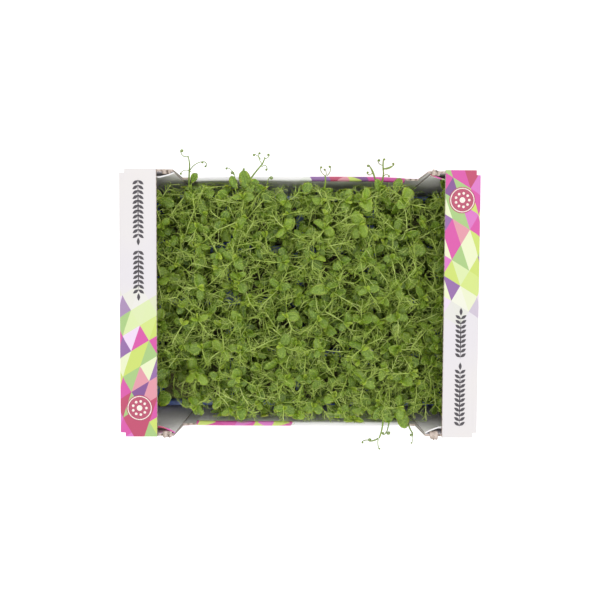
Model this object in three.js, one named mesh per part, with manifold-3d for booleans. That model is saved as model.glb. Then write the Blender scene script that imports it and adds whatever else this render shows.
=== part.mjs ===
// A tray of pea shoots as a grower ships it: a folded corrugated carton holds a thermoformed insert with
// sixteen pockets. Each pocket has a block of growing medium, and on it a mat of roots and peas with
// its shoots.
// Millimetres, +Z up. The origin is the middle of the carton's underside, and X runs along its length.
import * as THREE from "three";
import { mergeVertices } from "three/addons/utils/BufferGeometryUtils.js";
import Module from "manifold-3d";

const wasm = await Module();
wasm.setup();

// ---------- driving dimensions ----------

const CARTON = {
  length: 400,
  width: 300,
  height: 140, // at the two ends, where the next tray stands
  sideHeight: 96, // along the middle of the long sides
  board: 2.4,
  cornerCutX: 3.5, // the upright corner folds are cut off by this much
  cornerCutY: 4.5,
  shelfInnerX: 160, // the end shelves reach in to here
  foldDrop: 1.6, // the sloping strip between shelf and end wall
  highX: 143, // outside this the long sides have their full height
  stepX: 141.5, // here they have dropped to stepHeight, and slope on gently to lowX
  stepHeight: 99,
  lowX: 126, // inside this they are low, and rolled over into two layers
  flapInnerX: 143, // the glued corner flaps end here
  flapGap: 1.6, // between a corner flap and the long side
  rollEdge: 0.8, // the rounding of the rolled-over top, as a bevel
};

const INSERT = {
  rimX: 192,
  rimY: 141,
  top: 38,
  sheet: 0.8,
  lip: 6,
  columns: 4,
  rows: 4,
  pitchX: 95,
  pitchY: 70,
  mouthX: 86,
  mouthY: 61,
  floorX: 79,
  floorY: 54,
  cornerCut: 9,
  rimCut: 8,
};

const MEDIUM = { top: 27, wallGap: 0.6 };
const MAT = { thickness: 4.2, seedRadius: 3.6, seedSunk: 0.3, seedOffset: 5.4 };
const REST = 0.3; // the gap left between pieces that rest on each other

// A pair of numbers is the range that a value is drawn from.
const SHOOT = {
  places: [[-1, -1], [1, -1], [-1, 1], [1, 1]], // in each pocket, in steps from its middle
  step: [22, 16],
  spread: [4, 2], // how far the tops lean away from the pocket's middle
  jitter: [-4, 4],
  lean: [-5, 5],
  bend: [-4, 4],
  top: [106, 122], // the height of the upper node
  lowerNode: 0.68, // how far up the stem the lower pair grows
  lowerSize: 0.9, // its size as a share of the upper pair
  lobe: [14.5, 18], // a stipule, from the stem to its tip
  lobeWidth: 1.05, // its width as a share of its length
  lobeRise: 0.22, // how far it rises for each millimetre outwards
  blade: 0.8,
  stemRadius: 1.2,
  tendrilRadius: 0.55,
  stalkReach: [14, 20],
  stalkRise: [6, 9],
  forkTurn: [0.3, 0.8], // radians, to each side of the stalk
  forkReach: 9,
  forkRise: [0, 3],
  cellGap: 0.4,
};

// Shoots at the long sides that lean out over them: where each grows, its top pair, and its tendrils,
// which share a stalk: its end and then their tips.
const OVERHANGING = [
  { root: [-122, 118], pair: [-124, 139, 117], lobe: 9, turn: 0.5, stalk: [-129, 158, 127],
    tips: [[-138, 173, 131], [-106, 160, 129]] },
  { root: [-64, 118], pair: [-62, 139, 118], lobe: 13, turn: 0.3, stalk: [-44, 159, 128],
    tips: [[-52, 170, 131], [-37, 165, 129]] },
  { root: [31, 118], pair: [28, 138, 116], lobe: 12, turn: 0.1, stalk: [28, 148, 122],
    tips: [[21, 157, 126], [34, 156, 127]] },
  { root: [80, 119], pair: [94, 139, 117], lobe: 12, turn: 0.2, stalk: [95, 150, 124],
    tips: [[92, 164, 130], [77, 157, 128], [108, 158, 128]] },
  { root: [80, -114], pair: [99, -133, 118], lobe: 15, turn: 0.1, stalk: [92, -157, 124],
    tips: [[93, -169, 126], [80, -164, 124]] },
  { root: [121, -116], pair: [120, -138, 116], lobe: 12, turn: 1.5, stalk: [127, -152, 123],
    tips: [[128, -164, 122]] },
];

// ---------- materials ----------

const finish = (color, roughness) => new THREE.MeshStandardMaterial({ color, roughness, metalness: 0 });
const MATERIALS = {
  board: finish("#d9d6d8", 0.75),
  plastic: finish("#20305f", 0.3),
  fibre: finish("#5b4030", 0.95),
  shoots: finish("#6f9a35", 0.6),
};

// ---------- helpers: geometry to solid and back ----------

// A closed geometry as a solid that can be joined and cut.
function solid(geometry) {
  const bare = geometry.index ? geometry.toNonIndexed() : geometry.clone();
  bare.deleteAttribute("normal");
  bare.deleteAttribute("uv");
  const merged = mergeVertices(bare, 1e-4);
  const vertProperties = merged.attributes.position.array;
  const triVerts = new Uint32Array(merged.index.array);
  return new wasm.Manifold(new wasm.Mesh({ numProp: 3, vertProperties, triVerts }));
}

const join = (solids) => solids.reduce((whole, piece) => whole.add(piece));

function mesh(name, shape, material) {
  const { numProp, vertProperties, triVerts } = shape.getMesh();
  const corners = new Float32Array((vertProperties.length / numProp) * 3);
  for (let i = 0; i < corners.length / 3; i++)
    corners.set(vertProperties.subarray(i * numProp, i * numProp + 3), i * 3);
  const geometry = new THREE.BufferGeometry()
    .setAttribute("position", new THREE.BufferAttribute(corners, 3))
    .setIndex(new THREE.BufferAttribute(triVerts, 1));
  geometry.computeVertexNormals();
  const made = new THREE.Mesh(geometry, material);
  made.name = name;
  return made;
}

// ---------- helpers: simple solids ----------

// An outline in XY, from z0 to z1.
function plate(points, z0, z1) {
  const outline = new THREE.Shape(points.map(([x, y]) => new THREE.Vector2(x, y)));
  return new THREE.ExtrudeGeometry(outline, { depth: z1 - z0, bevelEnabled: false }).translate(0, 0, z0);
}

// An outline in XZ, from y0 to y1.
function wallAlongX(points, y0, y1) {
  return plate(points, 0, y1 - y0)
    .rotateX(Math.PI / 2)
    .translate(0, y1, 0);
}

// An outline in YZ, from x0 to x1.
function wallAlongY(points, x0, x1) {
  return plate(points, 0, x1 - x0)
    .rotateX(Math.PI / 2)
    .rotateZ(Math.PI / 2)
    .translate(x0, 0, 0);
}

const rectangle = (x0, y0, x1, y1) => [[x0, y0], [x1, y0], [x1, y1], [x0, y1]];

// A rectangle round the origin with its corners cut off.
function cutRectangle(halfX, halfY, cutX, cutY = cutX) {
  return [
    [halfX, -halfY + cutY],
    [halfX, halfY - cutY],
    [halfX - cutX, halfY],
    [-halfX + cutX, halfY],
    [-halfX, halfY - cutY],
    [-halfX, -halfY + cutY],
    [-halfX + cutX, -halfY],
    [halfX - cutX, -halfY],
  ];
}

// A block with cut corners that widens evenly from z0 to z1.
function taperedBlock(cx, cy, [x0, y0], [x1, y1], z0, z1) {
  const block = plate(cutRectangle(x0 / 2, y0 / 2, INSERT.cornerCut), 0, z1 - z0);
  const at = block.attributes.position;
  for (let i = 0; i < at.count; i++) {
    const share = at.getZ(i) / (z1 - z0);
    at.setX(i, at.getX(i) * THREE.MathUtils.lerp(1, x1 / x0, share));
    at.setY(i, at.getY(i) * THREE.MathUtils.lerp(1, y1 / y0, share));
  }
  return block.translate(cx, cy, z0);
}

// ---------- the carton ----------

function carton() {
  const c = CARTON;
  const [halfX, halfY] = [c.length / 2, c.width / 2];
  const box = solid(plate(cutRectangle(halfX, halfY, c.cornerCutX, c.cornerCutY), 0, c.height));
  const inside = solid(plate(rectangle(-halfX + c.board, -halfY + c.board, halfX - c.board, halfY - c.board),
    c.board, c.height - c.board));
  const well = solid(plate(rectangle(-c.shelfInnerX, -halfY + c.board, c.shelfInnerX, halfY - c.board),
    c.height / 2, c.height + 1));
  let shape = box.subtract(inside).subtract(well);

  // The low stretch of each long side. It rises gently near its ends and then steps up to full height.
  const dip = [
    [-c.lowX, c.sideHeight],
    [c.lowX, c.sideHeight],
    [c.stepX, c.stepHeight],
    [c.highX, c.height + 1],
    [-c.highX, c.height + 1],
    [-c.stepX, c.stepHeight],
  ];
  shape = shape.subtract(solid(wallAlongX(dip, -halfY - 1, -halfY + c.board + 1)));
  shape = shape.subtract(solid(wallAlongX(dip, halfY - c.board - 1, halfY + 1)));

  // The sloping strip where each shelf folds down into its end wall.
  for (const side of [-1, 1]) {
    const corner = [
      [halfX - c.cornerCutX, c.height + 1],
      [halfX - c.cornerCutX, c.height],
      [halfX, c.height - c.foldDrop],
      [halfX + 1, c.height - c.foldDrop],
      [halfX + 1, c.height + 1],
    ].map(([x, z]) => [side * x, z]);
    shape = shape.subtract(solid(wallAlongX(side > 0 ? corner : corner.reverse(), -halfY - 1, halfY + 1)));
  }

  const added = [];
  for (const side of [-1, 1]) {
    // The second layer of the long side, rolled over at the top and one with the outer layer.
    const outer = halfY - c.board / 2;
    const inner = halfY - 2 * c.board;
    const layer = [
      [inner, c.board / 2],
      [outer, c.board / 2],
      [outer, c.sideHeight - REST / 10],
      [inner + c.rollEdge, c.sideHeight - REST / 10],
      [inner, c.sideHeight - c.rollEdge],
    ].map(([y, z]) => [side * y, z]);
    added.push(wallAlongY(side > 0 ? layer : layer.reverse(), -c.lowX, c.lowX));

    // The corner flaps, glued to the long side from within.
    const flapOuter = halfY - c.board - c.flapGap;
    for (const end of [-1, 1]) {
      const [x0, x1] = [c.flapInnerX, halfX - c.board / 2].map((x) => end * x);
      const [y0, y1] = [flapOuter - c.board, flapOuter].map((y) => side * y);
      added.push(plate(
        rectangle(Math.min(x0, x1), Math.min(y0, y1), Math.max(x0, x1), Math.max(y0, y1)),
        c.board / 2, c.height - c.board / 2,
      ));
    }
  }
  return mesh("carton", join([shape, ...added.map(solid)]), MATERIALS.board);
}

// ---------- the insert and what fills its pockets ----------

const pockets = [];
for (let column = 0; column < INSERT.columns; column++)
  for (let row = 0; row < INSERT.rows; row++)
    pockets.push({
      column,
      row,
      number: column * INSERT.rows + row,
      x: (column - (INSERT.columns - 1) / 2) * INSERT.pitchX,
      y: ((INSERT.rows - 1) / 2 - row) * INSERT.pitchY,
      label: `c${column + 1}r${row + 1}`,
    });

const FLOOR = CARTON.board + REST;
const MAT_BOTTOM = MEDIUM.top + REST;
const MAT_TOP = MAT_BOTTOM + MAT.thickness;

// The pocket's inside width along X and Y at height z, less a gap all round.
function pocketSize(z, gap = 0) {
  const share = (z - FLOOR - INSERT.sheet) / (INSERT.top - FLOOR - INSERT.sheet);
  return [
    THREE.MathUtils.lerp(INSERT.floorX, INSERT.mouthX, share) - 2 * gap,
    THREE.MathUtils.lerp(INSERT.floorY, INSERT.mouthY, share) - 2 * gap,
  ];
}

function insertTray() {
  const { rimX, rimY, rimCut, top, sheet, lip } = INSERT;
  const web = plate(cutRectangle(rimX, rimY, rimCut), top - lip, top);
  const underWeb = plate(cutRectangle(rimX - sheet, rimY - sheet, rimCut), top - lip - 1, top - sheet);
  const wallTop = top - sheet / 2; // inside the web, so that each pocket is one with it
  const cups = pockets.map(({ x, y }) =>
    solid(taperedBlock(x, y, pocketSize(FLOOR, -sheet), pocketSize(wallTop, -sheet), FLOOR, wallTop)));
  let shape = join([solid(web).subtract(solid(underWeb)), ...cups]);
  const [inside, above] = [FLOOR + sheet, top + 1];
  for (const { x, y } of pockets)
    shape = shape.subtract(solid(taperedBlock(x, y, pocketSize(inside), pocketSize(above), inside, above)));
  return mesh("insert_tray", shape, MATERIALS.plastic);
}

function medium({ x, y, label }) {
  const bottom = FLOOR + INSERT.sheet + REST;
  const block = taperedBlock(x, y, pocketSize(bottom, MEDIUM.wallGap), pocketSize(MEDIUM.top, MEDIUM.wallGap),
    bottom, MEDIUM.top);
  return mesh(`medium_${label}`, solid(block), MATERIALS.fibre);
}

// ---------- pea shoots ----------

// Repeatable draws, each from a range.
function drawsFrom(seed) {
  let state = seed >>> 0;
  return ([low, high]) => {
    state = (Math.imul(state, 1664525) + 1013904223) >>> 0;
    return between(low, high, state / 4294967296);
  };
}

const between = (low, high, share) => low + (high - low) * share;

// A three-sided stem through a run of points, which narrows from one radius to the other.
function stem(points, startRadius, endRadius) {
  const last = points.length - 1;
  const across = points[last].clone().sub(points[last - 1]).cross(new THREE.Vector3(0, 0, 1));
  const corners = [];
  const faces = [];
  points.forEach((centre, i) => {
    const along = points[Math.min(i + 1, last)].clone().sub(points[Math.max(i - 1, 0)]).normalize();
    const u = across.clone().projectOnPlane(along).normalize();
    const v = along.clone().cross(u);
    const radius = between(startRadius, endRadius, i / last);
    for (let j = 0; j < 3; j++) {
      const angle = (j * 2 * Math.PI) / 3;
      const corner = centre.clone().addScaledVector(u, radius * Math.cos(angle));
      corners.push(...corner.addScaledVector(v, radius * Math.sin(angle)));
    }
    if (i === last) return;
    for (let j = 0; j < 3; j++) {
      const [p, q] = [3 * i + j, 3 * i + ((j + 1) % 3)];
      faces.push(p, q, q + 3, p, q + 3, p + 3);
    }
  });
  faces.push(0, 2, 1, 3 * last, 3 * last + 1, 3 * last + 2);
  return new THREE.BufferGeometry()
    .setAttribute("position", new THREE.Float32BufferAttribute(corners, 3))
    .setIndex(faces);
}

// Two rounded stipules, one on each side of the stem, as one thin blade that rises outwards.
function stipulePair([x, y, z], lobe, turn) {
  const width = lobe * SHOOT.lobeWidth;
  const half = [[0.45, 0.5], [0.97, 0.1], [0.6, -0.45]].map(([u, v]) => [u * lobe, v * width]);
  const neck = 0.22 * width;
  const points = [[0, neck], ...half, [0, -neck], ...half.map(([u, v]) => [-u, -v])];
  const blade = plate(points.reverse(), -SHOOT.blade / 2, SHOOT.blade / 2);
  const at = blade.attributes.position;
  for (let i = 0; i < at.count; i++) at.setZ(i, at.getZ(i) + SHOOT.lobeRise * Math.abs(at.getX(i)));
  return blade.rotateZ(turn).translate(x, y, z);
}

// The pea that a shoot grew from, half sunk in the mat beside it.
function pea([x, y], turn) {
  const [towardsX, towardsY] = [MAT.seedOffset * Math.cos(turn), MAT.seedOffset * Math.sin(turn)];
  return new THREE.OctahedronGeometry(MAT.seedRadius)
    .translate(x - towardsX, y - towardsY, MAT_TOP - MAT.seedSunk);
}

// One shoot: its pea, its stipules, a stem that runs on into a tendril, and more tendrils from that.
function shoot({ root, top, bend, lobe, turn, stalk, tips, lower }) {
  const foot = [root[0], root[1], MAT_TOP - 1];
  const node = foot.map((v, i) => between(v, top[i], SHOOT.lowerNode) + (bend[i] ?? 0));
  const along = [foot, node, top, stalk, tips[0]].map((p) => new THREE.Vector3(...p));
  const branches = tips.slice(1).map((tip) =>
    stem([along[3], new THREE.Vector3(...tip)], SHOOT.tendrilRadius * 1.2, SHOOT.tendrilRadius));
  const main = stem(along, SHOOT.stemRadius, SHOOT.tendrilRadius);
  const pieces = [main, stipulePair(top, lobe, turn), pea(root, turn), ...branches];
  if (lower) pieces.push(stipulePair(node, lower, turn + Math.PI / 2));
  return pieces;
}

// The shoots of one pocket. They stay in the pocket's own share of the tray.
function shootsOf({ x, y, number }) {
  const draw = drawsFrom(7919 * (number + 1));
  const [limitX, limitY] = [INSERT.pitchX / 2 - SHOOT.cellGap, INSERT.pitchY / 2 - SHOOT.cellGap];
  const keep = (px, py, reach) => [
    x + THREE.MathUtils.clamp(px - x, -limitX + reach, limitX - reach),
    y + THREE.MathUtils.clamp(py - y, -limitY + reach, limitY - reach),
  ];
  return SHOOT.places.map(([placeX, placeY]) => {
    const root = [
      x + placeX * SHOOT.step[0] + draw(SHOOT.jitter),
      y + placeY * SHOOT.step[1] + draw(SHOOT.jitter),
    ];
    const lobe = draw(SHOOT.lobe);
    const leanX = placeX * SHOOT.spread[0] + draw(SHOOT.lean);
    const leanY = placeY * SHOOT.spread[1] + draw(SHOOT.lean);
    const top = [...keep(root[0] + leanX, root[1] + leanY, lobe + 0.6), draw(SHOOT.top)];
    const turn = draw([0, Math.PI]);
    const bend = [draw(SHOOT.bend), draw(SHOOT.bend)];
    const way = turn + Math.PI / 2 + (draw([-1, 1]) < 0 ? Math.PI : 0);
    const reach = draw(SHOOT.stalkReach);
    const end = keep(top[0] + reach * Math.cos(way), top[1] + reach * Math.sin(way), 3);
    const stalk = [...end, top[2] + draw(SHOOT.stalkRise)];
    const tips = [-1, 1].map((side) => {
      const fork = way + side * draw(SHOOT.forkTurn);
      const tip = [end[0] + SHOOT.forkReach * Math.cos(fork), end[1] + SHOOT.forkReach * Math.sin(fork)];
      return [...keep(...tip, 1.2), stalk[2] + draw(SHOOT.forkRise)];
    });
    return { root, top, bend, lobe, turn, stalk, tips, lower: lobe * SHOOT.lowerSize };
  });
}

function leaningShootsOf({ x, y }) {
  const mine = OVERHANGING.filter(({ root }) =>
    Math.abs(root[0] - x) < INSERT.pitchX / 2 && Math.abs(root[1] - y) < INSERT.pitchY / 2);
  return mine.map(({ root, pair, lobe, turn, stalk, tips }) =>
    ({ root, top: pair, bend: [0, 0], lobe, turn, stalk, tips }));
}

function stand(pocket) {
  const mat = taperedBlock(pocket.x, pocket.y, pocketSize(MAT_BOTTOM, MEDIUM.wallGap),
    pocketSize(MAT_TOP, MEDIUM.wallGap), MAT_BOTTOM, MAT_TOP);
  const grown = [...shootsOf(pocket), ...leaningShootsOf(pocket)].flatMap(shoot);
  return mesh(`shoots_${pocket.label}`, join([mat, ...grown].map(solid)), MATERIALS.shoots);
}

// ---------- the whole tray ----------

const tray = new THREE.Group();
tray.add(carton(), insertTray(), ...pockets.map(medium), ...pockets.map(stand));

export default tray;
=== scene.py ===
# %% [markdown]
# # A tray of pea shoots
# A grower sells these shoots still rooted. A folded carton of corrugated board holds a blue insert with
# sixteen pockets, and in each pocket a mat of peas and roots carries its shoots. They are peas of a kind that
# has tendrils where others have leaflets, so the green is made of two things: the rounded stipules that sit
# in pairs on each stem, and a cloud of thin curling tendrils.
#
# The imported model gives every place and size. This first cell loads it and keeps its box, because nothing
# that is made later may reach further.

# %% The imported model
import math

import bpy
import numpy as np
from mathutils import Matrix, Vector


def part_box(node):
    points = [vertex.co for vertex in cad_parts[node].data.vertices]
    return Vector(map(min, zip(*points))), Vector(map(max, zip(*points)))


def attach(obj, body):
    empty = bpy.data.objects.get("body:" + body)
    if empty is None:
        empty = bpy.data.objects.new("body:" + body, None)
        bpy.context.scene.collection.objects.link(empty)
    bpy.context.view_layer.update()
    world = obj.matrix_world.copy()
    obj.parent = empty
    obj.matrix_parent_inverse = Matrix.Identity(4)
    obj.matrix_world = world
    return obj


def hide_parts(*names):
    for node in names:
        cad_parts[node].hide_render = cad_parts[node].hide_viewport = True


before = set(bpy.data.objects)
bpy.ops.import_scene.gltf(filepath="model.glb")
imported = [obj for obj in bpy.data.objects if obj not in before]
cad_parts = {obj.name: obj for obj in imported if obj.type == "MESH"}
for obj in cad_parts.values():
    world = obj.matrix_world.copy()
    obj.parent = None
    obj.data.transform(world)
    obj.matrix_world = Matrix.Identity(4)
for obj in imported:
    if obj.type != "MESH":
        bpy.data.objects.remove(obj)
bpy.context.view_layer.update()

MM = 0.001  # everything below is worked out in millimetres and becomes metres when a mesh is made


def box(node):
    """The lowest and highest corner of a node, in millimetres."""
    return [np.array(corner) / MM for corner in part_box(node)]


POCKETS = [f"c{column}r{row}" for column in range(1, 5) for row in range(1, 5)]
CARTON_LOW, CARTON_HIGH = box("carton")
HALF_LENGTH, HALF_WIDTH, TOP = CARTON_HIGH
highest = max(box(f"shoots_{pocket}")[1][2] for pocket in POCKETS)
print("carton", (CARTON_HIGH - CARTON_LOW).round(1), "mm, shoots up to", highest.round(1))

# %% [markdown]
# ## From arrays to meshes
# Most shapes here are grids of points, worked out as whole arrays. One function turns such arrays into a mesh
# object. The polygons come as a list of arrays, because an array can only hold polygons with the same number
# of corners. The object itself stays at the origin, and its place is in its points.

# %% A mesh object from arrays


def make_piece(name, points, polygons, materials, zones=None, sharp=40, uv=None, tone=None):
    """A mesh object from points in millimetres and a list of polygon arrays.
    zones numbers the material of each polygon, uv is a pair and tone a number for each point."""
    mesh = bpy.data.meshes.new(name)
    sizes = np.concatenate([np.full(len(p), p.shape[1]) for p in polygons])
    corners = np.concatenate([p.ravel() for p in polygons]).astype(np.int32)
    mesh.vertices.add(len(points))
    mesh.vertices.foreach_set("co", (points * MM).astype(np.float32).ravel())
    mesh.loops.add(len(corners))
    mesh.loops.foreach_set("vertex_index", corners)
    mesh.polygons.add(len(sizes))
    mesh.polygons.foreach_set("loop_start", np.concatenate([[0], np.cumsum(sizes)[:-1]]).astype(np.int32))
    for made in materials:
        mesh.materials.append(made)
    if zones is not None:
        mesh.polygons.foreach_set("material_index", np.asarray(zones, np.int32))
    mesh.update(calc_edges=True)
    mesh.polygons.foreach_set("use_smooth", np.ones(len(sizes), bool))
    mesh.set_sharp_from_angle(angle=math.radians(sharp))
    if uv is not None:
        mesh.uv_layers.new(name="blade").data.foreach_set("uv", uv[corners].astype(np.float32).ravel())
    if tone is not None:
        mesh.attributes.new("tone", "FLOAT", "POINT").data.foreach_set("value", tone.astype(np.float32))
    piece = bpy.data.objects.new(name, mesh)
    bpy.context.scene.collection.objects.link(piece)
    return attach(piece, "root")


def grid_faces(rows, columns, closed=False):
    """The quads of a grid of points, in rows. closed joins the last column to the first."""
    number = np.arange(rows * columns).reshape(rows, columns)
    if closed:
        number = np.hstack([number, number[:, :1]])
    return np.stack([number[:-1, :-1], number[:-1, 1:], number[1:, 1:], number[1:, :-1]], -1).reshape(-1, 4)


print("the quads of a grid of 2 by 3 points:", grid_faces(2, 3).tolist())

# %% [markdown]
# ## Colours and nodes
# Colours are written as the hex values a designer would use, and one function turns them into the linear
# light that Blender works in. Another small function adds a node with its settings and its links, so that
# each material reads from top to bottom.

# %% Colours and nodes


def linear(hex_text):
    """An sRGB hex colour as linear red, green, blue and alpha."""
    srgb = np.array([int(hex_text[i : i + 2], 16) for i in (1, 3, 5)]) / 255
    light = np.where(srgb <= 0.04045, srgb / 12.92, ((srgb + 0.055) / 1.055) ** 2.4)
    return (*light, 1.0)


def plug(node, inputs):
    """Sets or links sockets, by number or name. Each gets a value, an output, or a node's first output."""
    for socket, value in inputs.items():
        if isinstance(value, bpy.types.Node):
            value = value.outputs[0]
        if isinstance(value, bpy.types.NodeSocket):
            node.id_data.links.new(value, node.inputs[socket])
        else:
            node.inputs[socket].default_value = value


def add(tree, kind, *inputs, stops=(), interpolation="LINEAR", **settings):
    """A new node. kind may end in an operation, as in "Math ADD". inputs go into its sockets in their order,
    or are one dictionary for plug. stops are a colour ramp's (place, hex colour) pairs. settings are the
    node's own properties."""
    kind, _, operation = kind.partition(" ")
    node = tree.nodes.new("ShaderNode" + kind)
    if operation:
        node.operation = operation
    for name, value in settings.items():
        setattr(node, name, value)
    plug(node, inputs[0] if inputs and isinstance(inputs[0], dict) else dict(enumerate(inputs)))
    if stops:
        elements = node.color_ramp.elements
        node.color_ramp.interpolation = interpolation
        while len(elements) < len(stops):
            elements.new(0.5)
        for element, (place, colour) in zip(elements, stops):
            element.position = place
            element.color = linear(colour)
    return node


def new_material(name, **numbers):
    """A material with only its shader, whose numbers are set, and its node tree."""
    made = bpy.data.materials.new(name)
    made.use_nodes = True
    shader = made.node_tree.nodes["Principled BSDF"]
    plug(shader, {socket.replace("_", " "): value for socket, value in numbers.items()})
    return made, made.node_tree, shader


print("middle grey is", np.round(linear("#808080")[0], 3), "in linear light")

# %% [markdown]
# ## Camera, light and floor
# The tray is seen from above, from about half a metre over its end shelves. That is close, so the deep parts
# look clearly smaller than the shelves. The camera hangs a little behind the middle and leans forward by less
# than two degrees, as a hand-set studio camera does.

# %% Camera
CAMERA_PLACE = [-5.5, 20.5, 653.7]
CAMERA_LEAN = [-1.736, -0.547, 0.273]  # degrees about X, Y and Z
LENS, SENSOR = 27.48, 36

camera_data = bpy.data.cameras.new("camera")
camera_data.sensor_width = SENSOR
camera_data.lens = LENS
camera = bpy.data.objects.new("camera", camera_data)
camera.location = np.array(CAMERA_PLACE) * MM
camera.rotation_euler = np.radians(CAMERA_LEAN)
bpy.context.scene.collection.objects.link(camera)
bpy.context.scene.camera = camera
bpy.context.scene.view_settings.view_transform = "Standard"
print("lens", LENS, "mm, at", round(CAMERA_PLACE[2] - TOP), "mm above the rim")

# %% [markdown]
# The light is a white tent. It is brightest half way up all round, as when lamps stand at every side and
# shine down at a slant, so even the inner faces of the walls are bright. One weak soft box hangs nearly over
# the tray and gives the leaves a little shape.

# %% Light
TENT = 1.73  # the tent's brightness where it is brightest
# The sine of the angle above the horizon, and the tent's grey there
TENT_GREYS = [(0.0, "#969696"), (0.22, "#B4B4B4"), (0.5, "#FFFFFF"), (1.0, "#B4B4B4")]
AIM = [0, 0, 0.1]  # the middle of the tray, in metres


def soft_box(name, place, size, watts):
    """A square area light that faces the middle of the tray. Its place is in metres."""
    light = bpy.data.lights.new(name, "AREA")
    light.size = size
    light.energy = watts
    holder = bpy.data.objects.new(name, light)
    holder.location = place
    aim = np.array(AIM) - place
    across = np.cross(aim, [0, 0, 1.0])
    turn = math.acos(np.dot(aim, [0, 0, -1]) / np.linalg.norm(aim))
    holder.rotation_mode = "AXIS_ANGLE"
    holder.rotation_axis_angle = (turn, *(across / np.linalg.norm(across)))
    bpy.context.scene.collection.objects.link(holder)


soft_box("key_light", (0.1, 0.35, 1.5), 0.9, 3)

world = bpy.data.worlds.new("studio")
world.use_nodes = True
tent = world.node_tree
direction = add(tent, "SeparateXYZ", add(tent, "TexCoord").outputs["Generated"])
grey = add(tent, "ValToRGB", direction.outputs["Z"], stops=TENT_GREYS)
plug(tent.nodes["Background"], {"Color": grey, "Strength": TENT})
bpy.context.scene.world = world
print("tent", TENT, "and soft box", bpy.data.lights["key_light"].energy, "W")

# %% [markdown]
# The floor glows a little, as a lit white sweep does, so that it stays white.

# %% Floor
FLOOR_REACH = 40000

glow = {"Emission_Color": (1, 1, 1, 1), "Emission_Strength": 0.2}
sweep, _, _ = new_material("white_sweep", Base_Color=(0.9, 0.9, 0.9, 1), Roughness=0.9, **glow)
floor_corners = np.array([[-1, -1, 0], [1, -1, 0], [1, 1, 0], [-1, 1, 0]]) * FLOOR_REACH
floor_mesh = bpy.data.meshes.new("floor")
floor_mesh.from_pydata((floor_corners * MM).tolist(), [], [[0, 1, 2, 3]])
floor_mesh.materials.append(sweep)
floor = bpy.data.objects.new("floor", floor_mesh)
bpy.context.scene.collection.objects.link(floor)
print("floor", 2 * FLOOR_REACH * MM, "m across")

# %% [markdown]
# ## Board, inside and at its edges
# The carton is corrugated board with a white liner on both sides. Inside it is plain, slightly grey and
# faintly ribbed over the flutes. Where it is cut, the brown middle shows, and a dark stripe is painted in each
# flute: painted shade for the open hole. Upright cut edges are painted a darker grey: painted shade for the
# shadow they stand in. The flutes are 6.4 mm apart, which is usual for board of this thickness.
#
# Every material starts from the object coordinates. As all pieces have their origin in the same place, these
# are the place in the tray, in metres.

# %% Plain liner and cut edges
FLUTE = 6.4 * MM
UPRIGHT_LOW, UPRIGHT_HIGH = 101 * MM, 134 * MM  # cut edges between these heights are the upright ones
LONG_SIDE_FROM = 138 * MM  # cut edges further out in Y than this run along X


def paper_bump(tree, shader, vector, strength=0.12):
    """The tooth of paper, and under it a slow unevenness where the liner sinks between the flutes."""
    tooth = add(tree, "TexNoise", {"Vector": vector, "Scale": 1400.0, "Detail": 3.0})
    sag = add(tree, "TexNoise", {"Vector": vector, "Scale": 60.0, "Detail": 2.0})
    both = add(tree, "Math ADD", tooth, add(tree, "Math MULTIPLY", sag, 6.0))
    bump = add(tree, "Bump", {"Height": both, "Strength": strength, "Distance": 0.15 * MM})
    plug(shader, {"Normal": bump})


def flute_wave(tree, along):
    """A sine wave with one turn for each flute."""
    return add(tree, "Math SINE", add(tree, "Math MULTIPLY", along, 2 * math.pi / FLUTE))


def plain_liner():
    """Nearly white: faint ribs over the flutes, in a cloud of fibres."""
    made, tree, shader = new_material("white_liner", Roughness=0.72)
    vector = add(tree, "TexCoord").outputs["Object"]
    x, y, _ = add(tree, "SeparateXYZ", vector).outputs
    ribs = flute_wave(tree, add(tree, "Math ADD", x, y))
    fibres = add(tree, "TexNoise", {"Vector": vector, "Scale": 90.0, "Detail": 6.0, "Roughness": 0.7})
    shade = add(tree, "Math ADD", fibres, add(tree, "Math MULTIPLY", ribs, 0.04))
    plug(shader, {"Base Color": add(tree, "ValToRGB", shade, stops=[(0.3, "#F1ECEF"), (0.7, "#FAF5F8")])})
    paper_bump(tree, shader, vector)
    return made


def cut_edge():
    """Across the run of the edge the middle shows in waves, whose dark troughs are painted shade for the open
    flute holes. Upright edges are mixed towards a dark grey: painted shade for the shadow they stand in."""
    made, tree, shader = new_material("kraft_edge", Roughness=0.9)
    vector = add(tree, "TexCoord").outputs["Object"]
    x, y, z = add(tree, "SeparateXYZ", vector).outputs
    long_side = add(tree, "Math GREATER_THAN", add(tree, "Math ABSOLUTE", y), LONG_SIDE_FROM)
    # The flute holes: a wave of dark stripes, painted shade for the open holes
    painted_hole_shade = flute_wave(tree, add(tree, "Mix", {0: long_side, 2: y, 3: x}, data_type="FLOAT"))
    fibres = add(tree, "TexNoise", {"Vector": vector, "Scale": 260.0, "Detail": 5.0, "Roughness": 0.7})
    shade = add(tree, "Math ADD", fibres, add(tree, "Math MULTIPLY", painted_hole_shade, 0.09))
    colour = add(tree, "ValToRGB", shade, stops=[(0.31, "#54483F"), (0.43, "#A5958A"), (0.7, "#CFC1B7")])
    # Upright edges are mixed 70 % towards a dark grey: painted shade for the shadow they stand in
    upright = add(tree, "Math COMPARE", z, (UPRIGHT_LOW + UPRIGHT_HIGH) / 2, (UPRIGHT_HIGH - UPRIGHT_LOW) / 2)
    pressed = add(tree, "Math MULTIPLY", upright, 0.7)
    mixed = add(tree, "Mix", {0: pressed, 6: colour, 7: linear("#7F7C76")}, data_type="RGBA")
    plug(shader, {"Base Color": mixed.outputs[2]})
    return made


WHITE_LINER, KRAFT_EDGE = plain_liner(), cut_edge()
print("flutes", FLUTE / MM, "mm apart")

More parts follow.
